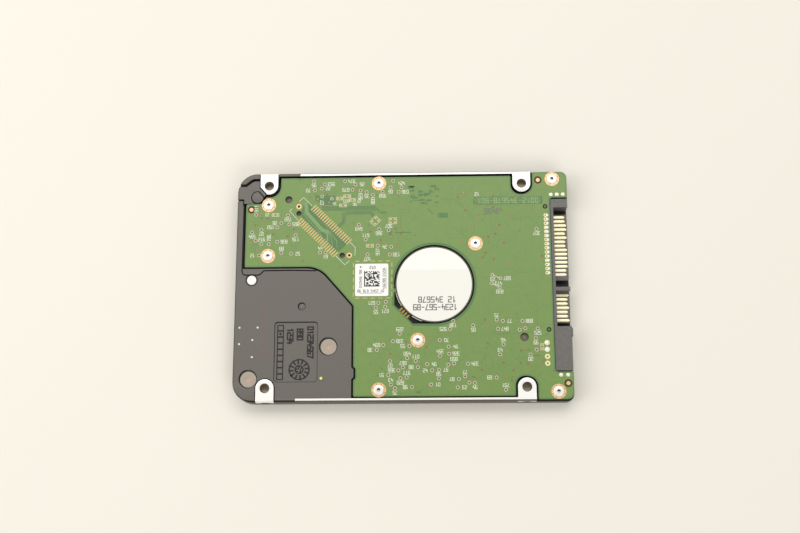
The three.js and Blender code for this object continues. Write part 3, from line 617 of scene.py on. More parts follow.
def outer_cuts():
    """The board's bay, the grooves at the left, the right corners' rims and the moats of two tabs."""
    rims = [rect(41, min(s * 33, s * 36), 52, max(s * 33, s * 36)) for s in BOTH_SIDES]
    return [
        plate("bay", [rounded(grow(BOARD_EDGE, 0.55))], BAY_Z, ABOVE, 0),
        plate("corner", [strip(CORNER_GROOVE, 0.85)], 5.4, ABOVE, 0),
        plate("groove", [strip(SIDE_GROOVE, 0.36)], 6.0, ABOVE, 0),
        plate("groove_end", [strip(SIDE_GROOVE_END, 0.6)], 5.4, ABOVE, 0),
        *[plate("rim", [rim], BOARD_LOW.z, ABOVE, 0) for rim in rims],
        *[plate("moat", [mount_tab(MOUNT_X[0], s, 0.3, HALF_W + 1)], 5.6, ABOVE, 0) for s in BOTH_SIDES],
    ]


def raised_parts():
    """Screw bosses, the locating disc, the motor boss, the side rails and the mounting tabs."""
    foot = BAY_Z - 0.3
    return [
        *[solid_disc("boss", p, 1.9, foot, BOARD_LOW.z - 0.03, 40) for p in BOARD_SCREWS],
        plate("locator", [locator_outline()], foot, 6.72, 0),
        solid_disc("motor", SPINDLE, 11.55, BAY_Z - 0.5, 6.2, 128),
        *[plate("rail", [rail(s)], SHOULDER_Z - 0.2, TOP, 0) for s in BOTH_SIDES],
        *[plate("tab", [mount_tab(x, s)], foot, TOP, 0) for x in MOUNT_X for s in BOTH_SIDES],
    ]


def hollows():
    """What is sunk from outside once the raised parts are on, then the rooms open to the cover side."""
    port = plate("port", [rect(-7.7, -2.7, 7.7, 2.7, 0.4)], BAY_Z - 1.5, BAY_Z + 1.5, 0)
    port.rotation_euler.z = math.radians(-45)
    port.location = (-23.6 * MM, 16.7 * MM, 0)
    return [
        plate("connector", [rect(44.5, -26.3, 52, 26.2, 0.3)], 1.3, ABOVE, 0),
        plate("tails", [rect(42.9, -11.8, 44.6, 22.0)], 4.1, TOP, 0),
        plate("panel", [rect(-38.0, -29.1, -25.1, -11.1, 1.0)], PANEL_FLOOR, ABOVE, 0),
        *[solid_disc("seal", Vector(p) + SHADOW_SIDE, SEAL_POCKET_R, 6.38, ABOVE, 72) for p in SEALS],
        solid_disc("plug", PLUG, PLUG_POCKET_R, 6.35, ABOVE, 48),
        solid_disc("pivot", PIVOT, 1.2, 5.95, ABOVE, 40),
        *[edge_wedge(s) for s in BOTH_SIDES],
        port,
        *[solid_disc("thread", p, 0.92, 4.5, TOP, 24) for p in BOARD_SCREWS],
        *[solid_disc("mount", p, BORE_R, BORE_FLOOR, ABOVE, 48) for p in MOUNTS],
        *[side_hole(x, s, BORE_R, 2.3) for x in MOUNT_X for s in BOTH_SIDES],
        plate("under", [rounded(UNDER_ROOM)], 0, DISK_ROOM_TOP, 0),
        solid_disc("disk_room", SPINDLE, 33.2, 0, DISK_ROOM_TOP, 160),
        solid_disc("stator_room", SPINDLE, 10.95, 3.5, 5.55, 96),
        plate("coil_room", [rounded(COIL_ROOM)], 3.5, 5.9, 0),
        *[solid_disc("cover_thread", p, 1.05, 0, 3.7, 24) for p in COVER_SCREWS],
    ]


# the coat, bare aluminium, and three finishes that carry painted shade: hollows, screw bores and outer walls
CASTING_FINISHES = (BLACK_COAT, MACHINED, PAINTED_SHADE_BLACK, THREAD_METAL_SHADE, WALL_COAT_SHADE)
COAT, BARE, HOLLOW_SHADE, BORE_SHADE, WALL_SHADE = range(5)


def casting_finish(face):
    """Which of the casting's finishes a face has, by its place and slope: floors and walls of hollows and
    the outer shoulder get a near-black painted shade, screw bores a metal darkened with painted shade, outer
    walls and slopes a darker painted shade of the coat.
    """
    c = face.center / MM
    up = face.normal.z > 0.5
    out = abs(c.y)
    to_bore = min(math.hypot(c.x - x, out - MOUNT_Y) for x in MOUNT_X)
    outer_wall = abs(face.normal.z) < 0.1 and (out > HALF_W - 0.6 or c.x < LEFT + 4.0 or c.x > RIGHT - 0.5)
    on_tab = any(abs(c.x - x) < TAB_R + 0.02 for x in MOUNT_X) and out > MOUNT_Y - TAB_R - 0.02
    shoulder = 5 < c.z < BLACK_Z - 0.2 and (out > HALF_W - 0.7 or c.x < LEFT + 0.5)
    to_pocket = min((Vector(c.xy) - Vector(p)).length for p in SEALS + [PLUG])
    pocket = to_pocket < SEAL_POCKET_R and 6.3 < c.z < 6.45
    slope = 0.2 < face.normal.z < 0.7 and out > HALF_W - 0.5 and c.z > 6.0
    deep_floor = up and (4.0 < c.z < 6.15 or (c.z < 2 and c.x > 44.4))
    if to_bore < BORE_R + 0.02 and 4.0 < c.z < TOP - 0.14:
        return BORE_SHADE
    if slope:
        return BARE if on_tab else WALL_SHADE
    if pocket or deep_floor or (shoulder and not on_tab):
        return HOLLOW_SHADE
    if (up and c.z > BLACK_Z + 0.1) or (on_tab and out > HALF_W - 0.5):
        return BARE
    if outer_wall:
        return BARE if on_tab and out > HALF_W - 0.05 and c.z > 4.0 else WALL_SHADE
    return HOLLOW_SHADE if face.normal.z < 0.8 and c.z > 4.2 else COAT


def base_casting():
    corners = [(LEFT, -HALF_W, 6.0), (RIGHT, -HALF_W, 2.1), (RIGHT, HALF_W, 2.1), (LEFT, HALF_W, 5.9)]
    upper_corners = [
        (LEFT + 0.3, -HALF_W + 0.55, 5.4), (RIGHT - 0.1, -HALF_W + 0.55, 2.4),
        (RIGHT - 0.1, HALF_W - 0.3, 2.4), (LEFT + 0.3, HALF_W - 0.3, 5.6),
    ]
    shell = plate("base_casting_body", [rounded(corners)], WALL_Z, SHOULDER_Z, 0)
    upper = plate("upper", [rounded(upper_corners)], SHOULDER_Z - 0.1, BLACK_Z, 0)
    # the moat is set off the disc, so its floor of painted shade shows as a crescent along the lower side
    locator_moat = plate("locator_moat", [locator_outline(0.36)], 5.5, ABOVE, 0)
    locator_moat.location = (0.08 * MM, -0.12 * MM, 0)
    ledge = plate("ledge", [rect(-48.1, 25.38, -42.9, 27.2)], BAY_Z - 0.3, BLACK_Z, 0)
    combine(shell, ("UNION", [upper]), ("DIFFERENCE", outer_cuts()), ("UNION", [ledge]),
            ("DIFFERENCE", [locator_moat]), ("UNION", raised_parts()), ("DIFFERENCE", hollows()))
    apply_bevel(shell, 0.12)
    for finish in CASTING_FINISHES:
        shell.data.materials.append(finish)
    for face in shell.data.polygons:
        face.material_index = casting_finish(face)
    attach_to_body(shell, "chassis")
    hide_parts("base_casting")
    # thread ridges in the mounting holes, their metal darkened with painted shade
    bores = [thread_ridges(p, BORE_R, BORE_FLOOR + 0.05, TOP - 0.15) for p in MOUNTS]
    place(merged("mount_hole_threads", bores, 20), THREAD_METAL_SHADE, "bare_aluminium")
    place(plates("mould_panel_marks", panel_marks(), 6.48, 6.56), PAINTED_SHADE_BLACK, "black_casting")
    # near-black line round the inside of the panel's edge: painted shade
    panel_shade_line = [[rect(-37.98, -29.08, -25.12, -11.12, 0.95), rect(-37.82, -28.95, -25.26, -11.45, 0.85)]]
    place(plates("mould_panel_painted_shade_line", panel_shade_line, 6.48, 6.54), PAINTED_SHADE_BLACK, "black_casting")
    dots = [circle(x, y, 0.3, 20) for x, y in
            [(-48.4, -12.8), (-43.0, -12.8), (-44.5, -16.5), (-48.4, -17.7), (-44.5, -21.6)]]
    place(plates("ejector_marks", dots, BLACK_Z - 0.02, BLACK_Z + 0.012), MARK_PALE, "black_casting")
    spots = [disc_data((-24.0, -28.0), 0.75, BLACK_Z - 0.02, BLACK_Z + 0.05)]
    place(merged("grease_spot", spots), SPOT_GREEN, "black_casting")
    core = [disc_data((-24.0, -28.0), 0.4, BLACK_Z - 0.02, BLACK_Z + 0.08)]
    place(merged("grease_spot_core", core), SPOT_BRIGHT, "black_casting")
    # a coated disc set off a near-black one leaves a crescent of painted shade in the pivot recess
    recess_disc = disc_data((PIVOT[0] + 0.1, PIVOT[1] - 0.12), 0.95, 6.45, 6.55)
    place(merged("pivot_recess_disc", [recess_disc]), BLACK_COAT, "black_casting")
    place(merged("pivot_recess_painted_shade", [disc_data(PIVOT, 1.14, 6.41, 6.45)]), PAINTED_SHADE_BLACK, "black_casting")
    stamp = lettering("0123 456789 012", (-41.1, -13.8), 1.5, -90, 0.2, 1.1)
    place(plates("faded_stamp", stamp, BLACK_Z - 0.02, BLACK_Z + 0.008), STAMP_RED, "black_casting")
    posts = [disc_data((x, y), r + 0.3, 4.9, 5.35) for x, y, r in BOARD_HOLES if r > 0.75]
    place(merged("hole_posts", posts), POST_GREY, "black_casting")
    ring = turned_data(SPINDLE, [(11.28, 6.19), (11.28, 6.235), (11.5, 6.235), (11.54, 6.19)], 160)
    place(merged("motor_boss_rim", [ring]), BLACK_COAT, "black_casting")


# ---- circuit board ----
def circuit_board():
    holes = [circle(x, y, r, 40) for x, y, r in BOARD_HOLES] + [circle(*p, 0.95, 32) for p in BOARD_SCREWS]
    tails = [rect(43.0, y - 0.3, 43.6, y + 0.3, 0.1) for y in power_rows()]
    board = plate("circuit_board_laminate", [rounded(BOARD_EDGE), motor_opening(), *holes, *tails],
                  BOARD_LOW.z, BOARD_TOP, 0.04, 1)
    place(board, MASK, "solder_mask", "circuit_board")
    board.data.materials.append(LAMINATE)
    for face in board.data.polygons:
        if abs(face.normal.z) < 0.5:
            face.material_index = 1


def power_rows():
    return [20.85 - i * PITCH for i in range(15)]


def signal_rows():
    return [-3.25 - i * PITCH for i in range(7)]


# ---- printed marks: digits drawn as single strokes on a 2 by 4 grid ----
DIGITS = {
    "0": [[(0, 0), (2, 0), (2, 4), (0, 4), (0, 0)]],
    "1": [[(0.5, 3.2), (1.2, 4), (1.2, 0)]],
    "2": [[(0, 4), (2, 4), (2, 2.2), (0, 1.8), (0, 0), (2, 0)]],
    "3": [[(0, 4), (2, 4), (2, 0), (0, 0)], [(0.4, 2), (2, 2)]],
    "4": [[(0.2, 4), (0, 1.6), (2, 1.6)], [(1.5, 2.8), (1.5, 0)]],
    "5": [[(2, 4), (0, 4), (0, 2.2), (2, 2), (2, 0), (0, 0)]],
    "6": [[(2, 4), (0, 4), (0, 0), (2, 0), (2, 2), (0, 2)]],
    "7": [[(0, 4), (2, 4), (0.7, 0)]],
    "8": [[(0, 0), (2, 0), (2, 4), (0, 4), (0, 0)], [(0, 2), (2, 2)]],
    "9": [[(0, 0), (2, 0), (2, 4), (0, 4), (0, 2), (2, 2)]],
    "-": [[(0.3, 2), (1.7, 2)]],
}


def lettering(text, centre, height, degrees=180, weight=0.16, gap=1.1):
    """Outlines of a row of digits centred on a point."""
    unit = height / 4
    width = (len(text) * (2 + gap) - gap) * unit
    c, s = math.cos(math.radians(degrees)), math.sin(math.radians(degrees))
    outlines = []
    for i, sign in enumerate(text):
        x0 = i * (2 + gap) * unit - width / 2
        for line in DIGITS.get(sign, []):
            local = [(x0 + x * unit, (y - 2) * unit) for x, y in line]
            turned_line = [(centre[0] + x * c - y * s, centre[1] + x * s + y * c) for x, y in local]
            outlines += [strip(pair, weight * height) for pair in zip(turned_line, turned_line[1:])]
    return outlines


def seeded_digits(rng, count):
    return "".join(rng.choice("0123456789") for _ in range(count))


TEST_POINT_AREAS = [              # x0, y0, x1, y1 of an area of the board, and how many points are in it
    (-46, 9, -28, 25, 15), (-26, 9.5, -23, 11, 2), (-27, 27, 0, 32.4, 16), (-13.4, 8, -3, 20, 8),
    (-8, -9, -4, -5, 4), (-9, -32, 12, -14.5, 24), (13, -32, 30, -9, 20), (33, -22, 41, -11, 7),
    (40, 16, 41, 17, 1),
]
VIA_AREAS = [
    (-46, 7, -27, 24, 11), (-26, 22, -20, 30, 5), (-10.5, 10, 0.5, 18.5, 6), (-4, -24, 9, -14, 4),
    (16, -32, 32.5, -7, 10), (34, -25, 41, -12, 6), (16.5, 5.5, 42, 29, 22),
]
LINKED_POINTS = [((26.5, 0.0), (28.8, -1.2)), ((26.8, 2.6), (29.1, 1.5))]
PART_SITES = [                    # middle, width, height and turn of the frame printed round unfitted pads
    (-2.9, 19.6, 2.3, 1.9, 0), (-8.2, 19.6, 2.5, 2.1, 45), (-9.8, 11.9, 2.2, 0.9, 0),
    (40.85, -19.1, 0.9, 2.0, 0),
    (-19.0, 26.8, 1.9, 0.9, 0), (-18.0, 24.6, 2.2, 0.9, 0), (-16.8, 27.5, 2.2, 0.9, 0),
    (-15.2, 26.3, 1.9, 0.9, 0),
    (-38.5, 21.8, 2.1, 0.9, 0),
]
FLEX_ROWS = [((-26.9, 24.0), (-16.1, 13.2)), ((-31.1, 20.0), (-20.2, 9.3))]
FLEX_COUNT = 20
FLEX_FILL = [
    (-30.5, 23.2), (-30.6, 21.1), (-20.2, 9.7), (-19.0, 10.3), (-15.9, 13.3), (-27.4, 24.4), (-28.5, 25.7),
    (-29.6, 25.6),
]
FLEX_PATCH = [(-26.4, 26.4), (-24.2, 24.8), (-20.4, 24.8), (-20.4, 27.7), (-25.6, 27.7), (-26.6, 28.4)]
FLEX_LIGHT = [
    ([(-29.2, 25.1), (-29.0, 22.5), (-24.6, 17.35), (-22.7, 16.2)], 1.1),
    ([(-30.0, 22.0), (-24.6, 15.7), (-24.2, 13.6)], 0.16),
    ([(-22.0, 15.8), (-21.35, 14.5), (-21.1, 11.9)], 0.2),
    ([(-22.9, 17.1), (-21.4, 15.8), (-19.9, 13.6), (-19.7, 11.6)], 0.2),
    ([(-22.6, 16.2), (-22.7, 13.4)], 0.5),
]
TRACK_BUNDLES = [
    ([(-24.4, 23.7), (-8.2, 23.6)], 4),
    ([(-7.8, 23.4), (-6.3, 22.2), (-4.8, 22.2)], 2),
    ([(-19.4, 17.8), (-17.7, 19.5), (-17.7, 21.6), (-16.9, 22.2), (-9.5, 22.2), (-8.7, 21.1)], 3),
    ([(-4.6, 17.5), (-3.6, 16.4), (-3.6, 15.2)], 3),
]
FIDUCIALS = [(-45.85, 23.55), (41.1, 31.95), (48.1, -29.85)]
RING_HOLES = [(-31.4, 24.4), (-16.0, 9.0)]
PIN_PADS = [(42.3, y) for y in (-17.9, -19.9, -22.0, -24.0)]
LIFT = 0.012


def overlay(name, outlines, finish, slot, top=LIFT, bottom=-0.01):
    return place(plates(name, outlines, BOARD_TOP + bottom, BOARD_TOP + top), finish, slot)


def along(a, b, count):
    dx, dy = b[0] - a[0], b[1] - a[1]
    return [(a[0] + dx * k / (count - 1), a[1] + dy * k / (count - 1)) for k in range(count)]


def shifted(path, d):
    """The same path moved sideways by d."""
    path = [Vector(p) for p in path]
    moved = []
    for i, p in enumerate(path):
        before = (p - path[i - 1]).normalized() if i else (path[1] - p).normalized()
        after = (path[i + 1] - p).normalized() if i + 1 < len(path) else before
        across = Vector((before.y + after.y, -before.x - after.x))
        moved.append(p + across * (d / max(0.3, 1 + before.dot(after))))
    return moved


def diagonal_pad(x, y, length, width):
    half = length / 2 / math.sqrt(2)
    return strip([(x - half, y - half), (x + half, y + half)], width)


BOARD_AREA = rounded(BOARD_EDGE, 1.0)


def on_board(x, y, margin=0.9):
    """True where there is board surface with nothing on it but traces."""
    in_opening = math.hypot(x - SPINDLE[0], y - SPINDLE[1]) < OPENING_R + margin
    if in_opening or (-3.5 < x < 3 and -13 < y < 1):
        return False
    if any(math.hypot(x - p[0], y - p[1]) < 2.2 + margin for p in BOARD_SCREWS):
        return False
    if any(math.hypot(x - p[0], y - p[1]) < p[2] + margin for p in BOARD_HOLES):
        return False
    if -14.8 - margin < x < -3.2 + margin and -4.2 - margin < y < 7.2 + margin:
        return False
    inside = False
    for i, b in enumerate(BOARD_AREA):
        a = BOARD_AREA[i - 1]
        if (a.y > y) != (b.y > y) and x < (b.x - a.x) * (y - a.y) / (b.y - a.y) + a.x:
            inside = not inside
    return inside and min((Vector((x, y)) - p).length for p in BOARD_AREA) > margin


def site_pads(x, y, w, h, turn):
    """Two pads along a narrow frame, or four in a wide one."""
    ends = [-1, 1]
    across = ends if h > 1.5 or h > w else [0]
    lengthwise = ends if w > h else [0]
    spots = [(0.27 * w * a, 0.25 * h * b) for a in lengthwise for b in across]
    c, s = math.cos(math.radians(turn)), math.sin(math.radians(turn))
    return [(x + a * c - b * s, y + a * s + b * c) for a, b in spots]


def scatter(seed, areas, taken, apart=1.5):
    """Places on bare board, so many in each area, all of them clear of each other and of what is taken."""
    rng = random.Random(seed)
    places = []
    for x0, y0, x1, y1, count in areas:
        wanted = len(places) + count
        for _ in range(800):
            p = (rng.uniform(x0, x1), rng.uniform(y0, y1))
            possible = len(places) < wanted and on_board(*p, 0.4)
            if possible and all(math.dist(p, q) > apart for q in places + taken):
                places.append(p)
    return places


PADS = [p for site in PART_SITES for p in site_pads(*site)]
FLEX_PADS = [p for row in FLEX_ROWS for p in along(*row, FLEX_COUNT)]
PRINTED_PLACES = PADS + FLEX_PADS + RING_HOLES + FIDUCIALS + PIN_PADS + [(43.2, y) for y in power_rows()]
TEST_POINTS = [p for pair in LINKED_POINTS for p in pair]
TEST_POINTS += scatter(11, TEST_POINT_AREAS, PRINTED_PLACES + TEST_POINTS)
VIAS = scatter(12, VIA_AREAS, PRINTED_PLACES + TEST_POINTS)


def trace(rng, start, length):
    """A track that runs straight, turns 45 degrees and stops before it leaves the board."""
    heading = rng.choice([0, 45, 90, 135, 180, 225, 270, 315])
    path, x, y = [start], *start
    for _ in range(rng.randint(1, 4)):
        run = rng.uniform(0.8, length)
        nx, ny = polar((x, y), run, heading)
        if not all(on_board(x + (nx - x) * t / 4, y + (ny - y) * t / 4, 0.5) for t in range(1, 5)):
            break
        path.append((nx, ny))
        x, y = nx, ny
        heading += rng.choice([-45, 45])
    return path if len(path) > 1 else None


def board_copper():
    """Tracks under the green mask, vias, test points and pads."""
    rng = random.Random(7)
    dark, light = [], []
    starts = TEST_POINTS + VIAS + [(rng.uniform(-46, 44), rng.uniform(-33, 33)) for _ in range(340)]
    for start in starts:
        if not on_board(*start, 0.3):
            continue
        for _ in range(2):
            path = trace(rng, start, 6.0)
            if path:
                width = rng.choice([0.13, 0.13, 0.2])
                layer = dark if rng.random() < 0.4 else light
                layer.extend(strip(pair, width) for pair in zip(path, path[1:]))
    overlay("tracks_dark", dark, MASK_SHADE, "solder_mask", 0.004)
    overlay("tracks_light", light, MASK_TRACE, "solder_mask", 0.006)
    fills = [rect(21.5, 24.4, 42.3, 26.8, 0.2), rect(10.8, 20.4, 13.7, 21.9, 0.2),
             rect(-2.3, 15.8, 2.7, 16.1, 0.1)]
    fills.append([Vector(p) for p in FLEX_FILL])
    fills.append([Vector(p) for p in FLEX_PATCH])
    for path, count in TRACK_BUNDLES:
        for k in range(count):
            side = (k - (count - 1) / 2) * 0.36
            line = shifted(path, side)
            fills += [strip(pair, 0.24) for pair in zip(line, line[1:])]
    for _ in range(26):
        x, y = rng.uniform(1.6, 11.0), rng.uniform(24.6, 30.4)
        w, h = rng.uniform(0.5, 2.2), rng.uniform(0.25, 0.9)
        if on_board(x, y, 0.2) and on_board(x + w, y + h, 0.2):
            fills.append(rect(x, y, x + w, y + h))
    overlay("mask_dark_areas", fills, MASK_DARK, "solder_mask", 0.008)
    overlay("opening_halo", [[motor_opening(0.7), motor_opening(0.06)]], MASK_DARK, "solder_mask", 0.009)
    rim = [rounded(grow(BOARD_EDGE, -0.06)), rounded(grow(BOARD_EDGE, -0.42))]
    overlay("board_rim", [rim], MASK_RIM, "solder_mask", 0.009)
    hatch = [strip([(x, 24.6 + 0.2 * (i % 2)), (x, 26.6)], 0.16) for i, x in enumerate(
        [22 + 0.42 * k for k in range(48)])]
    bands = [strip(pair, w) for path, w in FLEX_LIGHT for pair in zip(path, path[1:])]
    overlay("flex_tracks", bands, MASK_FLEX, "solder_mask", 0.013)
    overlay("mask_hatching", hatch, MASK_TRACE, "solder_mask", 0.013)

    rings, lands = [], []
    for p in BOARD_SCREWS:
        rings.append([circle(*p, 2.17, 48), circle(*p, 0.96, 32)])
        lands += [circle(*polar(p, 1.87, 45 * k + 22), 0.13, 10) for k in range(8)]
    for p in RING_HOLES:
        rings.append([circle(*p, 0.8, 28)])
    overlay("screw_lands", rings, COPPER_RING, "copper", 0.014)
    overlay("land_vias", lands, SLOT_BROWN, "copper", 0.02)
    # near-black discs in the plated holes stand for the shade inside them: painted shade
    overlay("ring_hole_painted_shade", [circle(*p, 0.43, 20) for p in RING_HOLES], PAINTED_SHADE_BLACK, "copper", 0.02)
    overlay("fiducial_windows", [circle(*p, 1.18, 36) for p in FIDUCIALS], FIDUCIAL_BROWN, "solder_mask",
            0.01)
    overlay("fiducials", [circle(*p, 0.6, 28) for p in FIDUCIALS], COPPER_RING, "copper", 0.02)

    points = [p for p in TEST_POINTS if on_board(*p, 0.2)]
    overlay("test_point_rings", [[circle(*p, 0.55, 20), circle(*p, 0.34, 16)] for p in points], TEST_RING,
            "solder_mask",
            0.016)
    overlay("test_point_centres", [circle(*p, 0.35, 16) for p in points], VIA_RED, "copper", 0.01)
    overlay("vias", [circle(*p, 0.35, 16) for p in VIAS if on_board(*p, 0.2)], VIA_SOFT, "copper", 0.01)
    cores = [circle(*p, 0.13, 10) for p in VIAS[::3] if on_board(*p, 0.2)]
    overlay("via_cores", cores, COPPER_RING, "copper", 0.016)
    small = []
    while len(small) < 150:
        p = (rng.uniform(-46, 44), rng.uniform(-33, 33))
        if on_board(*p, 0.5):
            small.append(circle(*p, rng.choice([0.14, 0.17]), 8))
    overlay("small_vias", small, VIA_GREEN, "solder_mask", 0.01)

    pads = [rect(x - 0.3, y - 0.24, x + 0.3, y + 0.24, 0.08) for x, y in PADS]
    pads += [diagonal_pad(*p, 1.85, 0.34) for p in FLEX_PADS]
    overlay("gold_pads", pads, PAD_GOLD, "gold", 0.02)


def solder_joints():
    def dome(x, y, rx, ry, h, finish=None):
        v, f = turned_data((0, 0), [(0, h), (0.35, h * 0.93), (0.7, h * 0.68), (0.92, h * 0.3),
                                    (1.0, -0.01), (0, -0.01)],
                           24)
        return [(x + a * rx, y + b * ry, BOARD_TOP + c) for a, b, c in v], f

    power = [dome(43.42, y, 0.62, 0.52, 0.36) if i in (3, 4, 5, 11) else dome(43.57, y, 0.49, 0.5, 0.36)
             for i, y in enumerate(power_rows())]
    place(merged("power_solder_joints", power), SOLDER, "nickel")
    lands = [rect(42.5, y - 0.5, 44.0, y + 0.5, 0.48) for y in power_rows()]
    others = [(44.9, 27.36), (46.7, 27.36), (48.5, 27.36), (46.1, -27.4), (48.1, -27.4)]
    lands += [rect(x - 0.58, y - 0.52, x + 0.58, y + 0.52, 0.48) for x, y in others]
    lands += [circle(*p, 0.78, 32) for p in PIN_PADS]
    overlay("solder_lands", lands, TINNED, "gold", 0.016)
    flats = [dome(*p, 0.52, 0.47, 0.12) for p in others] + [dome(*p, 0.66, 0.66, 0.22) for p in PIN_PADS[:2]]
    place(merged("pad_solder", flats), SOLDER, "nickel")
    cuts = [circle(42.95, y, 0.2, 16) for y in power_rows()] + [circle(*p, 0.24, 16) for p in PIN_PADS[2:]]
    overlay("joint_centres", cuts, FIDUCIAL_BROWN, "gold", 0.03)


def silkscreen():
    rng = random.Random(21)
    marks = []
    points = [p for p in TEST_POINTS if on_board(*p, 0.2)]
    small = points + VIAS + PRINTED_PLACES
    printed = []
    for x, y in points:
        across = [(x + 2.0, y, 180), (x - 2.0, y, 180), (x, y + 1.3, 180), (x, y - 1.3, 180)]
        upright = [(x, y + 1.9, 90), (x, y - 1.9, 90)]
        rng.shuffle(across)
        for sx, sy, turn in across + upright:
            wide, high = (1.2, 0.6) if turn == 180 else (0.6, 1.2)
            clear = all(abs(sx - px) > wide + 0.5 or abs(sy - py) > high + 0.45 for px, py in small)
            apart = all(abs(sx - px) > wide + w or abs(sy - py) > high + h for px, py, w, h in printed)
            if clear and apart and on_board(sx - wide, sy, 0.5) and on_board(sx + wide, sy, 0.5):
                marks += lettering(seeded_digits(rng, rng.choice([2, 3, 3])), (sx, sy), 1.0, turn, 0.14, 0.9)
                printed.append((sx, sy, wide, high))
                break
    for text, x, y, turn in [("12", -21.3, 26.8, 180), ("34", -20.6, 25.2, 180), ("56", -14.4, 24.9, 180),
                             ("701", -13.1, 26.0, 90), ("23", -41.0, 21.9, 180),
                             ("603", -17.0, 25.95, 180)]:
        marks += lettering(text, (x, y), 0.85, turn, 0.14, 0.9)
    for x, y, w, h, turn in PART_SITES:
        frame_points = [polar((0, 0), math.hypot(w, h) / 2, math.degrees(math.atan2(b * h, a * w)) + turn)
                        for a, b in ((-1, -1), (1, -1), (1, 1), (-1, 1))]
        ring = [(x + a, y + b) for a, b in frame_points]
        marks += [strip(pair, 0.11) for pair in zip(ring, ring[1:] + ring[:1])]
    for path in [
        [(-31.3, 26.0), (-30.0, 27.3), (-27.4, 24.5)], [(-33.5, 23.7), (-34.2, 23.0), (-31.7, 20.2)],
        [(-15.75, 13.1), (-14.2, 11.4), (-14.3, 9.0)], [(-20.1, 8.9), (-17.3, 6.1), (-16.0, 7.3)],
        *LINKED_POINTS,
    ]:
        marks.append(strip(path, 0.13))
    overlay("board_number", lettering("0012-345678-901", (31.9, 25.6), 1.5, 180, 0.13, 1.3), MASK_PRINT,
            "solder_mask", 0.018)
    marks += lettering("12", (22.6, 27.7), 1.0, 180, 0.16)
    overlay("silkscreen_marks", marks, SILK, "solder_mask", 0.018)
    stamp = lettering("3456", (27.0, 22.3), 1.6, 180, 0.14)
    overlay("stamped_number", stamp, INK, "solder_mask", 0.018)
    box_x, box_y = (-14.7, -3.2), (-4.15, 7.15)
    dashes = []
    for k in range(5):
        x = box_x[0] + (box_x[1] - box_x[0]) * (k + 0.5) / 5
        y = box_y[0] + (box_y[1] - box_y[0]) * (k + 0.5) / 5
        dashes += [rect(x - 0.68, v - 0.11, x + 0.68, v + 0.11) for v in box_y]
        dashes += [rect(v - 0.11, y - 0.68, v + 0.11, y + 0.68) for v in box_x]
    overlay("sticker_frame", dashes, PAD_GOLD, "gold", 0.016)


# ---- screws ----
def six_lobe(r, depth=0.14, steps=72):
    return [Vector(polar((0, 0), r - depth * (0.5 - 0.5 * math.cos(6 * math.radians(360 * k / steps))),
                         360 * k / steps)) for k in range(steps)]


def screw_mesh(name, head_r, z_head, z_top, shank_r, z_shank, socket_r):
    head = [(0, z_shank), (shank_r, z_shank), (shank_r, z_head), (head_r, z_head)]
    h = z_top - z_head
    head += [(head_r, z_head + h * 0.45), (head_r - 0.05, z_head + h * 0.75),
             (head_r - 0.18, z_head + h * 0.95), (head_r - 0.32, z_top), (0, z_top)]
    screw = turned(name, (0, 0), head, 64)
    socket = plate("socket", [six_lobe(socket_r)], z_top - 0.5, z_top + 1, 0)
    combine(screw, ("DIFFERENCE", [socket]))
    apply_bevel(screw, 0.03, 2, 40)
    return screw


def screw_copy(model, name, node, position, degrees, socket_r):
    """One screw turned to its own angle, with the socket's far wall in painted shade."""
    mesh = model.data.copy()
    mesh.transform(Euler((0, 0, math.radians(degrees))).to_matrix().to_4x4())
    top = max(v.co.z for v in mesh.vertices)
    for finish in (ZINC, SOCKET_PALE, SOCKET_PAINTED_SHADE):
        mesh.materials.append(finish)
    for face in mesh.polygons:
        c = face.center
        inside = math.hypot(c.x, c.y) < (socket_r + 0.02) * MM and c.z < top - 0.05 * MM
        # inside the socket, walls facing -y (its far side) get painted shade, the rest plain metal
        face.material_index = (2 if face.normal.y < -0.15 else 1) if inside else 0
    obj = bpy.data.objects.new(name, mesh)
    bpy.context.scene.collection.objects.link(obj)
    obj.location = (position[0] * MM, position[1] * MM, 0)
    return attach(obj, "steel", node)


def screws():
    model = screw_mesh("board_screw", 1.55, BOARD_TOP + 0.02, span("board_screw_1")[1].z, 0.85, 4.65, 0.62)
    for i, p in enumerate(BOARD_SCREWS, 1):
        screw_copy(model, f"screw_{i}", f"board_screw_{i}", p, 37 * i, 0.62)
    bpy.data.objects.remove(model)
    # near-black half-discs on the far side of the socket floors: painted shade
    floor = span("board_screw_1")[1].z - 0.5
    shade_halves = [[q for q in circle(*p, 0.5, 32) if q.y > p[1] - 0.03] for p in BOARD_SCREWS]
    place(plates("socket_floor_painted_shade", shade_halves, floor - 0.01, floor + 0.01), SOCKET_PAINTED_SHADE, "steel")
    low = span("cover_screw_1")[0].z
    model = screw_mesh("cover_screw", 1.72, -low - 0.36, -low, 0.95, -3.2, 0.85)
    model.data.transform(Euler((math.pi, 0, 0)).to_matrix().to_4x4())
    names = [f"cover_screw_{i}" for i in range(1, 7)] + ["pivot_screw"]
    for i, (node, p) in enumerate(zip(names, COVER_SCREWS + [PIVOT])):
        screw_copy(model, f"{node}_turned", node, p, 29 * i, 0.85)
    bpy.data.objects.remove(model)


# ---- SATA connector ----
def box_plate(name, x0, y0, z0, x1, y1, z1):
    return plate(name, [rect(x0, y0, x1, y1)], z0, z1, 0)


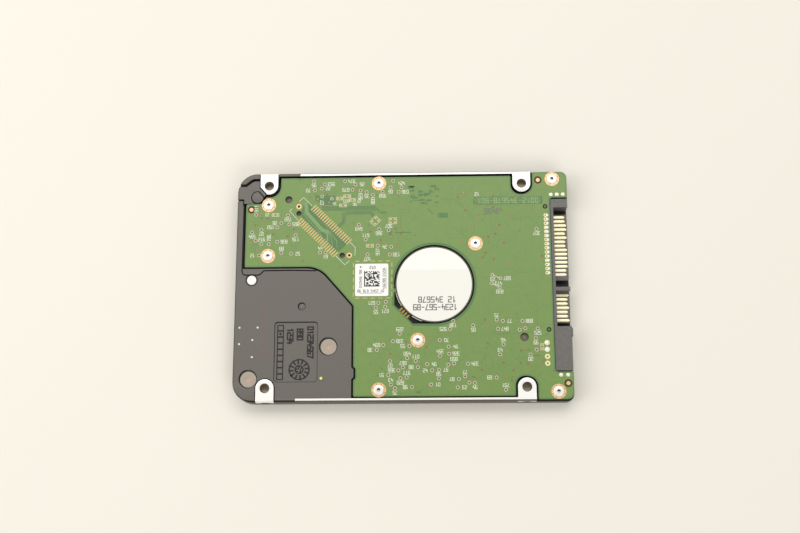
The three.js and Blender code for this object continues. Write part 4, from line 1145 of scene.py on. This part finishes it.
def sata_connector():
    back, inner, front = 44.6, 45.5, 49.75
    nose_x = HOUSING_HIGH.x
    z0, z1 = HOUSING_LOW.z, HOUSING_HIGH.z
    body = box_plate("sata_housing_moulded", back, HOUSING_LOW.y, z0, inner, HOUSING_HIGH.y, z1)
    blocks = [box_plate("tall", inner - 0.1, y0, z0, front, y1, z1) for y0, y1 in
              [(23.4, HOUSING_HIGH.y), (-2.2, -1.15), (HOUSING_LOW.y, -13.0)]]
    nose = plate("nose", [rounded([(front - 1, -16.3), (front + 0.1, -16.3), (nose_x, -15.9),
                                   (nose_x, -13.7),
                                   (front + 0.1, -13.3), (front - 1, -13.3)])], z0, z1 - 0.4, 0)
    tongues = [plate("tongue", [rounded([(inner - 0.1, y0), (front - 0.3, y0), (front, y0 + 0.4),
                                         (front, y1 - 0.4),
                                         (front - 0.3, y1), (inner - 0.1, y1)])], 2.27, TONGUE_TOP, 0)
               for y0, y1 in [(1.35, 21.75), (-11.6, -2.1)]]
    rows = [power_rows(), signal_rows()]
    slots = [box_plate("slot", back - 1, r[-1] - 0.6, TONGUE_TOP, inner + 0.5, r[0] + 0.6, TONGUE_TOP + 0.16)
             for r in rows]
    combine(body, ("UNION", blocks + [nose] + tongues), ("DIFFERENCE", slots))
    apply_bevel(body, 0.13, 3)
    place(body, CONNECTOR_BLACK, "black_plastic", "sata_housing")
    for node, rows_y, long_pins, tail in [("power_contacts", power_rows(), [2, 3, 5, 8, 9, 10, 11, 12],
                                           BOARD_TOP - 0.1),
                                          ("signal_contacts", signal_rows(), [0, 3, 6], BOARD_LOW.z - 0.02)]:
        blades, sockets, tails = [], [], []
        for i, y in enumerate(rows_y):
            tip = 49.55 if i in long_pins else 49.1
            half = 0.42
            blades.append(rounded([(45.3, y - half), (tip - 0.45, y - half, 0.3), (tip, y - 0.18, 0.15),
                                   (tip, y + 0.18, 0.15), (tip - 0.45, y + half, 0.3), (45.3, y + half)],
                                  0.05))
            sockets.append(rect(45.52, y - half - 0.13, tip + 0.13, y + half + 0.13, 0.3))
            tails.append(rect(43.1, y - 0.2, 43.5, y + 0.2))
            tails.append(rect(43.3, y - 0.3, 45.3, y + 0.3))
        low = TONGUE_TOP + 0.02
        parts = [plate_data([b], low, low + 0.08, 0.03, 2) for b in blades]
        parts += [plate_data([t], low, low + 0.08, 0) for t in tails[1::2]]
        parts += [plate_data([t], low, tail, 0) for t in tails[0::2]]
        place(merged(f"{node}_blades", parts), GOLD, "gold", node)
        place(plates(f"{node}_slots", sockets, TONGUE_TOP - 0.01, TONGUE_TOP + 0.012), SLOT_BROWN,
              "black_plastic")


def locating_pegs():
    pegs = [turned_data(p, [(0, 5.0), (0.5, 5.0), (0.5, 6.4), (0.34, 6.62), (0, 6.62)], 32)
            for p in PEG_HOLES]
    place(merged("locating_pegs", pegs), CONNECTOR_BLACK, "black_plastic")


# ---- labels, seals, plug and flex ----
def labels():
    low, high = span("motor_label")
    profile = [(0, low.z), (11.2, low.z), (11.2, high.z - 0.02), (11.17, high.z), (0, high.z)]
    label = turned("motor_label_film", SPINDLE, profile, 160, 20)
    place(label, LABEL_WHITE, "label_film", "motor_label")
    rows = lettering("12 345678", (10.2, -4.7), 1.6, 180, 0.18, 1.15)
    rows += lettering("1234-567-89", (9.6, -7.0), 1.6, 180, 0.18, 1.0)
    place(plates("motor_label_print", rows, high.z - 0.01, high.z + 0.008), INK, "label_film")

    low, high = span("board_sticker")
    sticker = plate("board_sticker_paper", [rect(low.x, low.y, high.x, high.y, 0.5)], BOARD_TOP + 0.015,
                    high.z, 0.02)
    place(sticker, PAPER, "label_film", "board_sticker")
    rng = random.Random(5)
    print_ = []
    x0, x1, y0, y1 = -11.5, -6.85, -0.65, 4.1
    cells = 14
    cell = (x1 - x0) / cells
    for i in range(cells):
        for j in range(cells):
            edge = i == 0 or j == 0
            far = (i == cells - 1 and j % 2 == 0) or (j == cells - 1 and i % 2 == 0)
            inner = 0 < i < cells - 1 and 0 < j < cells - 1 and rng.random() < 0.56
            if edge or far or inner:
                x, y = x0 + i * cell, y0 + j * cell * (y1 - y0) / (x1 - x0)
                print_.append(rect(x, y, x + cell * 1.01, y + cell * 1.02))
    print_ += lettering("012", (-9.0, 5.15), 0.8, 180, 0.16)
    print_ += lettering("01 2345 678 90", (-9.55, -2.0), 0.72, 180, 0.16, 1.2)
    print_ += lettering("456789 01234", (-5.55, 1.85), 0.68, 90, 0.16, 1.2)
    print_ += lettering("0123456 789", (-12.55, 1.7), 0.66, 90, 0.16, 1.1)
    print_ += [rect(-12.85, -2.72, -6.25, -2.62), rect(-4.98, -1.35, -4.88, 5.05),
               circle(-12.55, 5.35, 0.25, 12)]
    place(plates("board_sticker_print", print_, high.z - 0.01, high.z + 0.008), INK_BLACK, "label_film")

    for i, p in enumerate(SEALS, 1):
        low, high = span(f"service_seal_{i}")
        seal = turned(f"foil_seal_{i}", p, [(0, low.z), (2.38, low.z), (2.38, high.z - 0.05), (2.32, high.z),
                                            (0.5, high.z), (0.35, high.z - 0.03), (0, high.z - 0.03)], 96)
        place(seal, SEAL_GREY, "grey_seal", f"service_seal_{i}")
        spot = disc_data((p[0] + 0.15, p[1] - 0.25), 0.6, high.z - 0.04, high.z + 0.008)
        place(merged(f"seal_spot_{i}", [spot]), SPOT_RED, "grey_seal")
    low, high = span("service_plug")
    plug = turned("service_plug_turned", PLUG,
                  [(0, low.z), (1.42, low.z), (1.42, high.z - 0.12), (1.3, high.z),
                                                (0.45, high.z), (0.3, high.z - 0.1), (0, high.z - 0.1)], 64)
    place(plug, PLUG_WHITE, "white_plastic", "service_plug")

    low, high = span("motor_flex")
    base = Vector(polar(SPINDLE, 15.05, 223))
    across = Vector(polar((0, 0), 1, 313))
    out = Vector(polar((0, 0), 1, 223))
    corners = [base - out * 3.3 - across * 2.1, base + out * 3.25 - across * 2.1,
               base + out * 3.25 + across * 2.1, base - out * 3.3 + across * 2.1]
    corners = [Vector(c) for c in corners]
    place(plate("motor_flex_film", [corners], low.z, high.z, 0.01, 1), FLEX_DARK, "flex_film", "motor_flex")
    strips = [strip([base - out * 3.2 + across * s, base + out * 1.0 + across * s], 0.42)
              for s in (-1.5, -0.5, 0.5, 1.5)]
    place(plates("motor_flex_tracks", strips, high.z - 0.01, high.z + 0.02), FLEX_YELLOW, "flex_film")
    edges = [strip([polar(SPINDLE, 11.72, a) for a in range(start, end, 3)], 0.14)
             for start, end in ((189, 214), (236, 252))]
    place(plates("motor_flex_edges", edges, 5.9, 6.1), MARK_PALE, "flex_film")


# ---- cover side ----
def cover_side():
    screws_at = COVER_SCREWS + [PIVOT]
    rim = [(-49.7, -34.5, 5.5), (49.5, -34.5, 2.4), (49.5, 34.5, 2.4), (-49.7, 34.5, 5.5)]
    z0, z1 = span("top_cover")[0].z, 0.52
    sheet = plate("cover_sheet", [rounded(rim)], z0, z1, 0)
    cups = [solid_disc("cup", p, 2.3, z0 + 0.1, 0.9, 64) for p in screws_at]
    wells = [solid_disc("well", p, 1.95, -1, 0.55, 64) for p in screws_at]
    holes = [solid_disc("hole", p, 1.15, -1, 2, 32) for p in screws_at]
    holes.append(solid_disc("breath", middle("breather_filter"), 0.6, -1, 1, 32))
    combine(sheet, ("UNION", cups), ("DIFFERENCE", wells), ("DIFFERENCE", holes))
    apply_bevel(sheet, 0.1)
    place(sheet, COVER_STEEL, "steel", "top_cover")
    edge = rounded([
        (-43.0, -31.0, 1.0), (43.0, -31.0, 1.0), (47.5, -26.5, 1.0), (47.5, 26.5, 1.0), (43.0, 31.0, 1.0),
        (-10.5, 31.0, 0.5), (-10.5, 28.6, 0.5), (-43.0, 28.6, 1.0), (-47.5, 24.0, 1.0), (-47.5, -26.5, 1.0)])
    low, high = span("cover_label")
    film = plate("cover_label_film", [edge], low.z, high.z, 0, 1)
    tools = [solid_disc("screw", COVER_SCREWS[5], 2.7, -1, 1, 64),
             solid_disc("pivot", PIVOT, 2.7, -1, 1, 64),
             solid_disc("breath", middle("breather_filter"), 1.2, -1, 1, 48)]
    combine(film, ("DIFFERENCE", tools))
    flatten_shading(film)
    place(film, PAPER, "label_film", "cover_label")
    rng = random.Random(3)
    ink = []
    x = -38.0
    while x < -6:
        w = rng.choice([0.25, 0.5, 0.75])
        ink.append(rect(x, 17.0, x + w, 24.0))
        x += w + rng.choice([0.3, 0.5, 0.8])
    for k in range(7):
        ink += lettering(seeded_digits(rng, rng.randint(8, 16)), (20 - (k % 2) * 3, 24.0 - 3.2 * k), 1.5, 0,
                         0.13)
    ink += lettering("0123456789", (-22.0, 13.8), 1.8, 0, 0.13)
    ink.append([rect(-40, -18, 40, -14, 0.5), rect(-39.6, -17.6, 39.6, -14.4, 0.3)])
    ink += lettering("1 2 3 4 5 6 7 8 9 0", (0, -16), 1.6, 0, 0.13)
    data = [plate_data(o if isinstance(o[0], list) else [o], -0.004, 0.02, 0) for o in ink]
    flipped = [([(px, -py, pz) for px, py, pz in v], [f[::-1] for f in faces]) for v, faces in data]
    place(merged("cover_label_print", flipped), INK, "label_film")


# ---- finishes for CAD pieces that carry on as they are ----
def carried_over():
    steel = material("bright_steel", (0.66, 0.66, 0.65), 0.25, metallic=1.0, vary=0.04, grain=900, bump=0.15)
    nickel = ringed("magnet_nickel", (0.62, 0.60, 0.56), 0.28, PIVOT, 900)
    lathe_turned = ringed("turned_aluminium", (0.78, 0.78, 0.77), 0.3, SPINDLE, 1500)
    mirror = ringed("disk_mirror", (0.90, 0.90, 0.92), 0.06, SPINDLE, 2500)
    copper = material("enamelled_copper", (0.72, 0.30, 0.10), 0.35, metallic=0.9, vary=0.15, grain=1500,
                      stretch=(1, 1, 8), bump=0.5, depth=0.02)
    arm = material("milled_aluminium", (0.76, 0.77, 0.78), 0.33, metallic=1.0, vary=0.04, stretch=(1, 8, 1))
    plastic = material("moulded_black", (0.03, 0.03, 0.03), 0.5, vary=0.15)
    cream = material("ramp_plastic", (0.80, 0.73, 0.56), 0.45, vary=0.04)
    felt = material("filter_felt", (0.86, 0.86, 0.83), 0.95, vary=0.06, grain=5000, bump=0.8, depth=0.03)
    table = {
        GASKET: ["cover_gasket", "insulator_sheet"],
        steel: ["spindle_shaft", "disk_clamp", "clamp_screw", "pivot_shaft", "pivot_sleeve",
                "lower_suspension",
                "upper_suspension"],
        nickel: ["lower_yoke", "upper_yoke", "coil_magnet"],
        lathe_turned: ["spindle_hub", "rotor_magnet", "bearing_sleeve", "stator_core"],
        mirror: ["platter"],
        copper: ["stator_winding", "voice_coil"],
        arm: ["actuator_arm"],
        plastic: ["controller_chip", "motor_driver_chip", "memory_chip", "head_connector", "lower_slider",
                  "upper_slider", "actuator_latch"],
        FLEX: ["head_flex"],
        cream: ["load_ramp"],
        felt: ["air_filter", "breather_filter"],
    }
    for finish, nodes in table.items():
        for node in nodes:
            mesh = frame["nodes"][node].data
            mesh.materials.clear()
            mesh.materials.append(finish)


# ---- floor, light and camera ----
def area_light(name, location, target, size, energy, color=(1, 1, 1)):
    light = bpy.data.lights.new(name, "AREA")
    light.shape = "RECTANGLE"
    light.size, light.size_y = size
    light.energy = energy
    light.color = color
    obj = bpy.data.objects.new(name, light)
    bpy.context.scene.collection.objects.link(obj)
    obj.location = location
    direction = Vector(target) - Vector(location)
    obj.rotation_euler = direction.to_track_quat("-Z", "Y").to_euler()
    return obj


def studio():
    floor_mat = material("pale_table", (0.86, 0.835, 0.76), 0.75, vary=0.006, grain=8, bump=0.02)
    half = 3000
    floor = finish_mesh("table_top", [(-half, -half, -0.02), (half, -half, -0.02), (half, half, -0.02),
                                      (-half, half, -0.02)], [(0, 1, 2, 3)])
    floor.data.materials.append(floor_mat)
    world = bpy.data.worlds.new("studio")
    world.use_nodes = True
    world.node_tree.nodes["Background"].inputs["Color"].default_value = (1.0, 0.98, 0.94, 1)
    world.node_tree.nodes["Background"].inputs["Strength"].default_value = 0.505
    bpy.context.scene.world = world
    area_light("overhead", (0.0, 0.425, 0.75), (0.0, 0.425, 0), (1.0, 0.5), 3.3, (1, 0.985, 0.95))
    area_light("left_box", (-0.30, 0.04, 0.28), (-0.05, 0, 0), (0.15, 0.15), 0.10, (1, 0.98, 0.95))
    area_light("side_box", (-0.8, -0.2, 0.7), (0, 0, 0), (0.5, 0.7), 2.6, (1, 0.98, 0.95))
    area_light("front_box", (0.4, -0.8, 0.8), (0, 0, 0), (0.8, 0.4), 2.8, (1, 0.98, 0.95))
    bpy.context.scene.view_settings.view_transform = "Standard"
    camera = bpy.data.objects.new("camera", bpy.data.cameras.new("camera"))
    bpy.context.scene.collection.objects.link(camera)
    camera.data.lens = 50
    camera.data.sensor_width = 36
    camera.data.clip_start = 0.01
    camera.location = (8.71 * MM, -69.71 * MM, 330.01 * MM)
    camera.rotation_euler = (0.228, 0.030, -0.003)
    bpy.context.scene.camera = camera


base_casting()
circuit_board()
board_copper()
solder_joints()
silkscreen()
screws()
sata_connector()
locating_pegs()
labels()
cover_side()
carried_over()
studio()
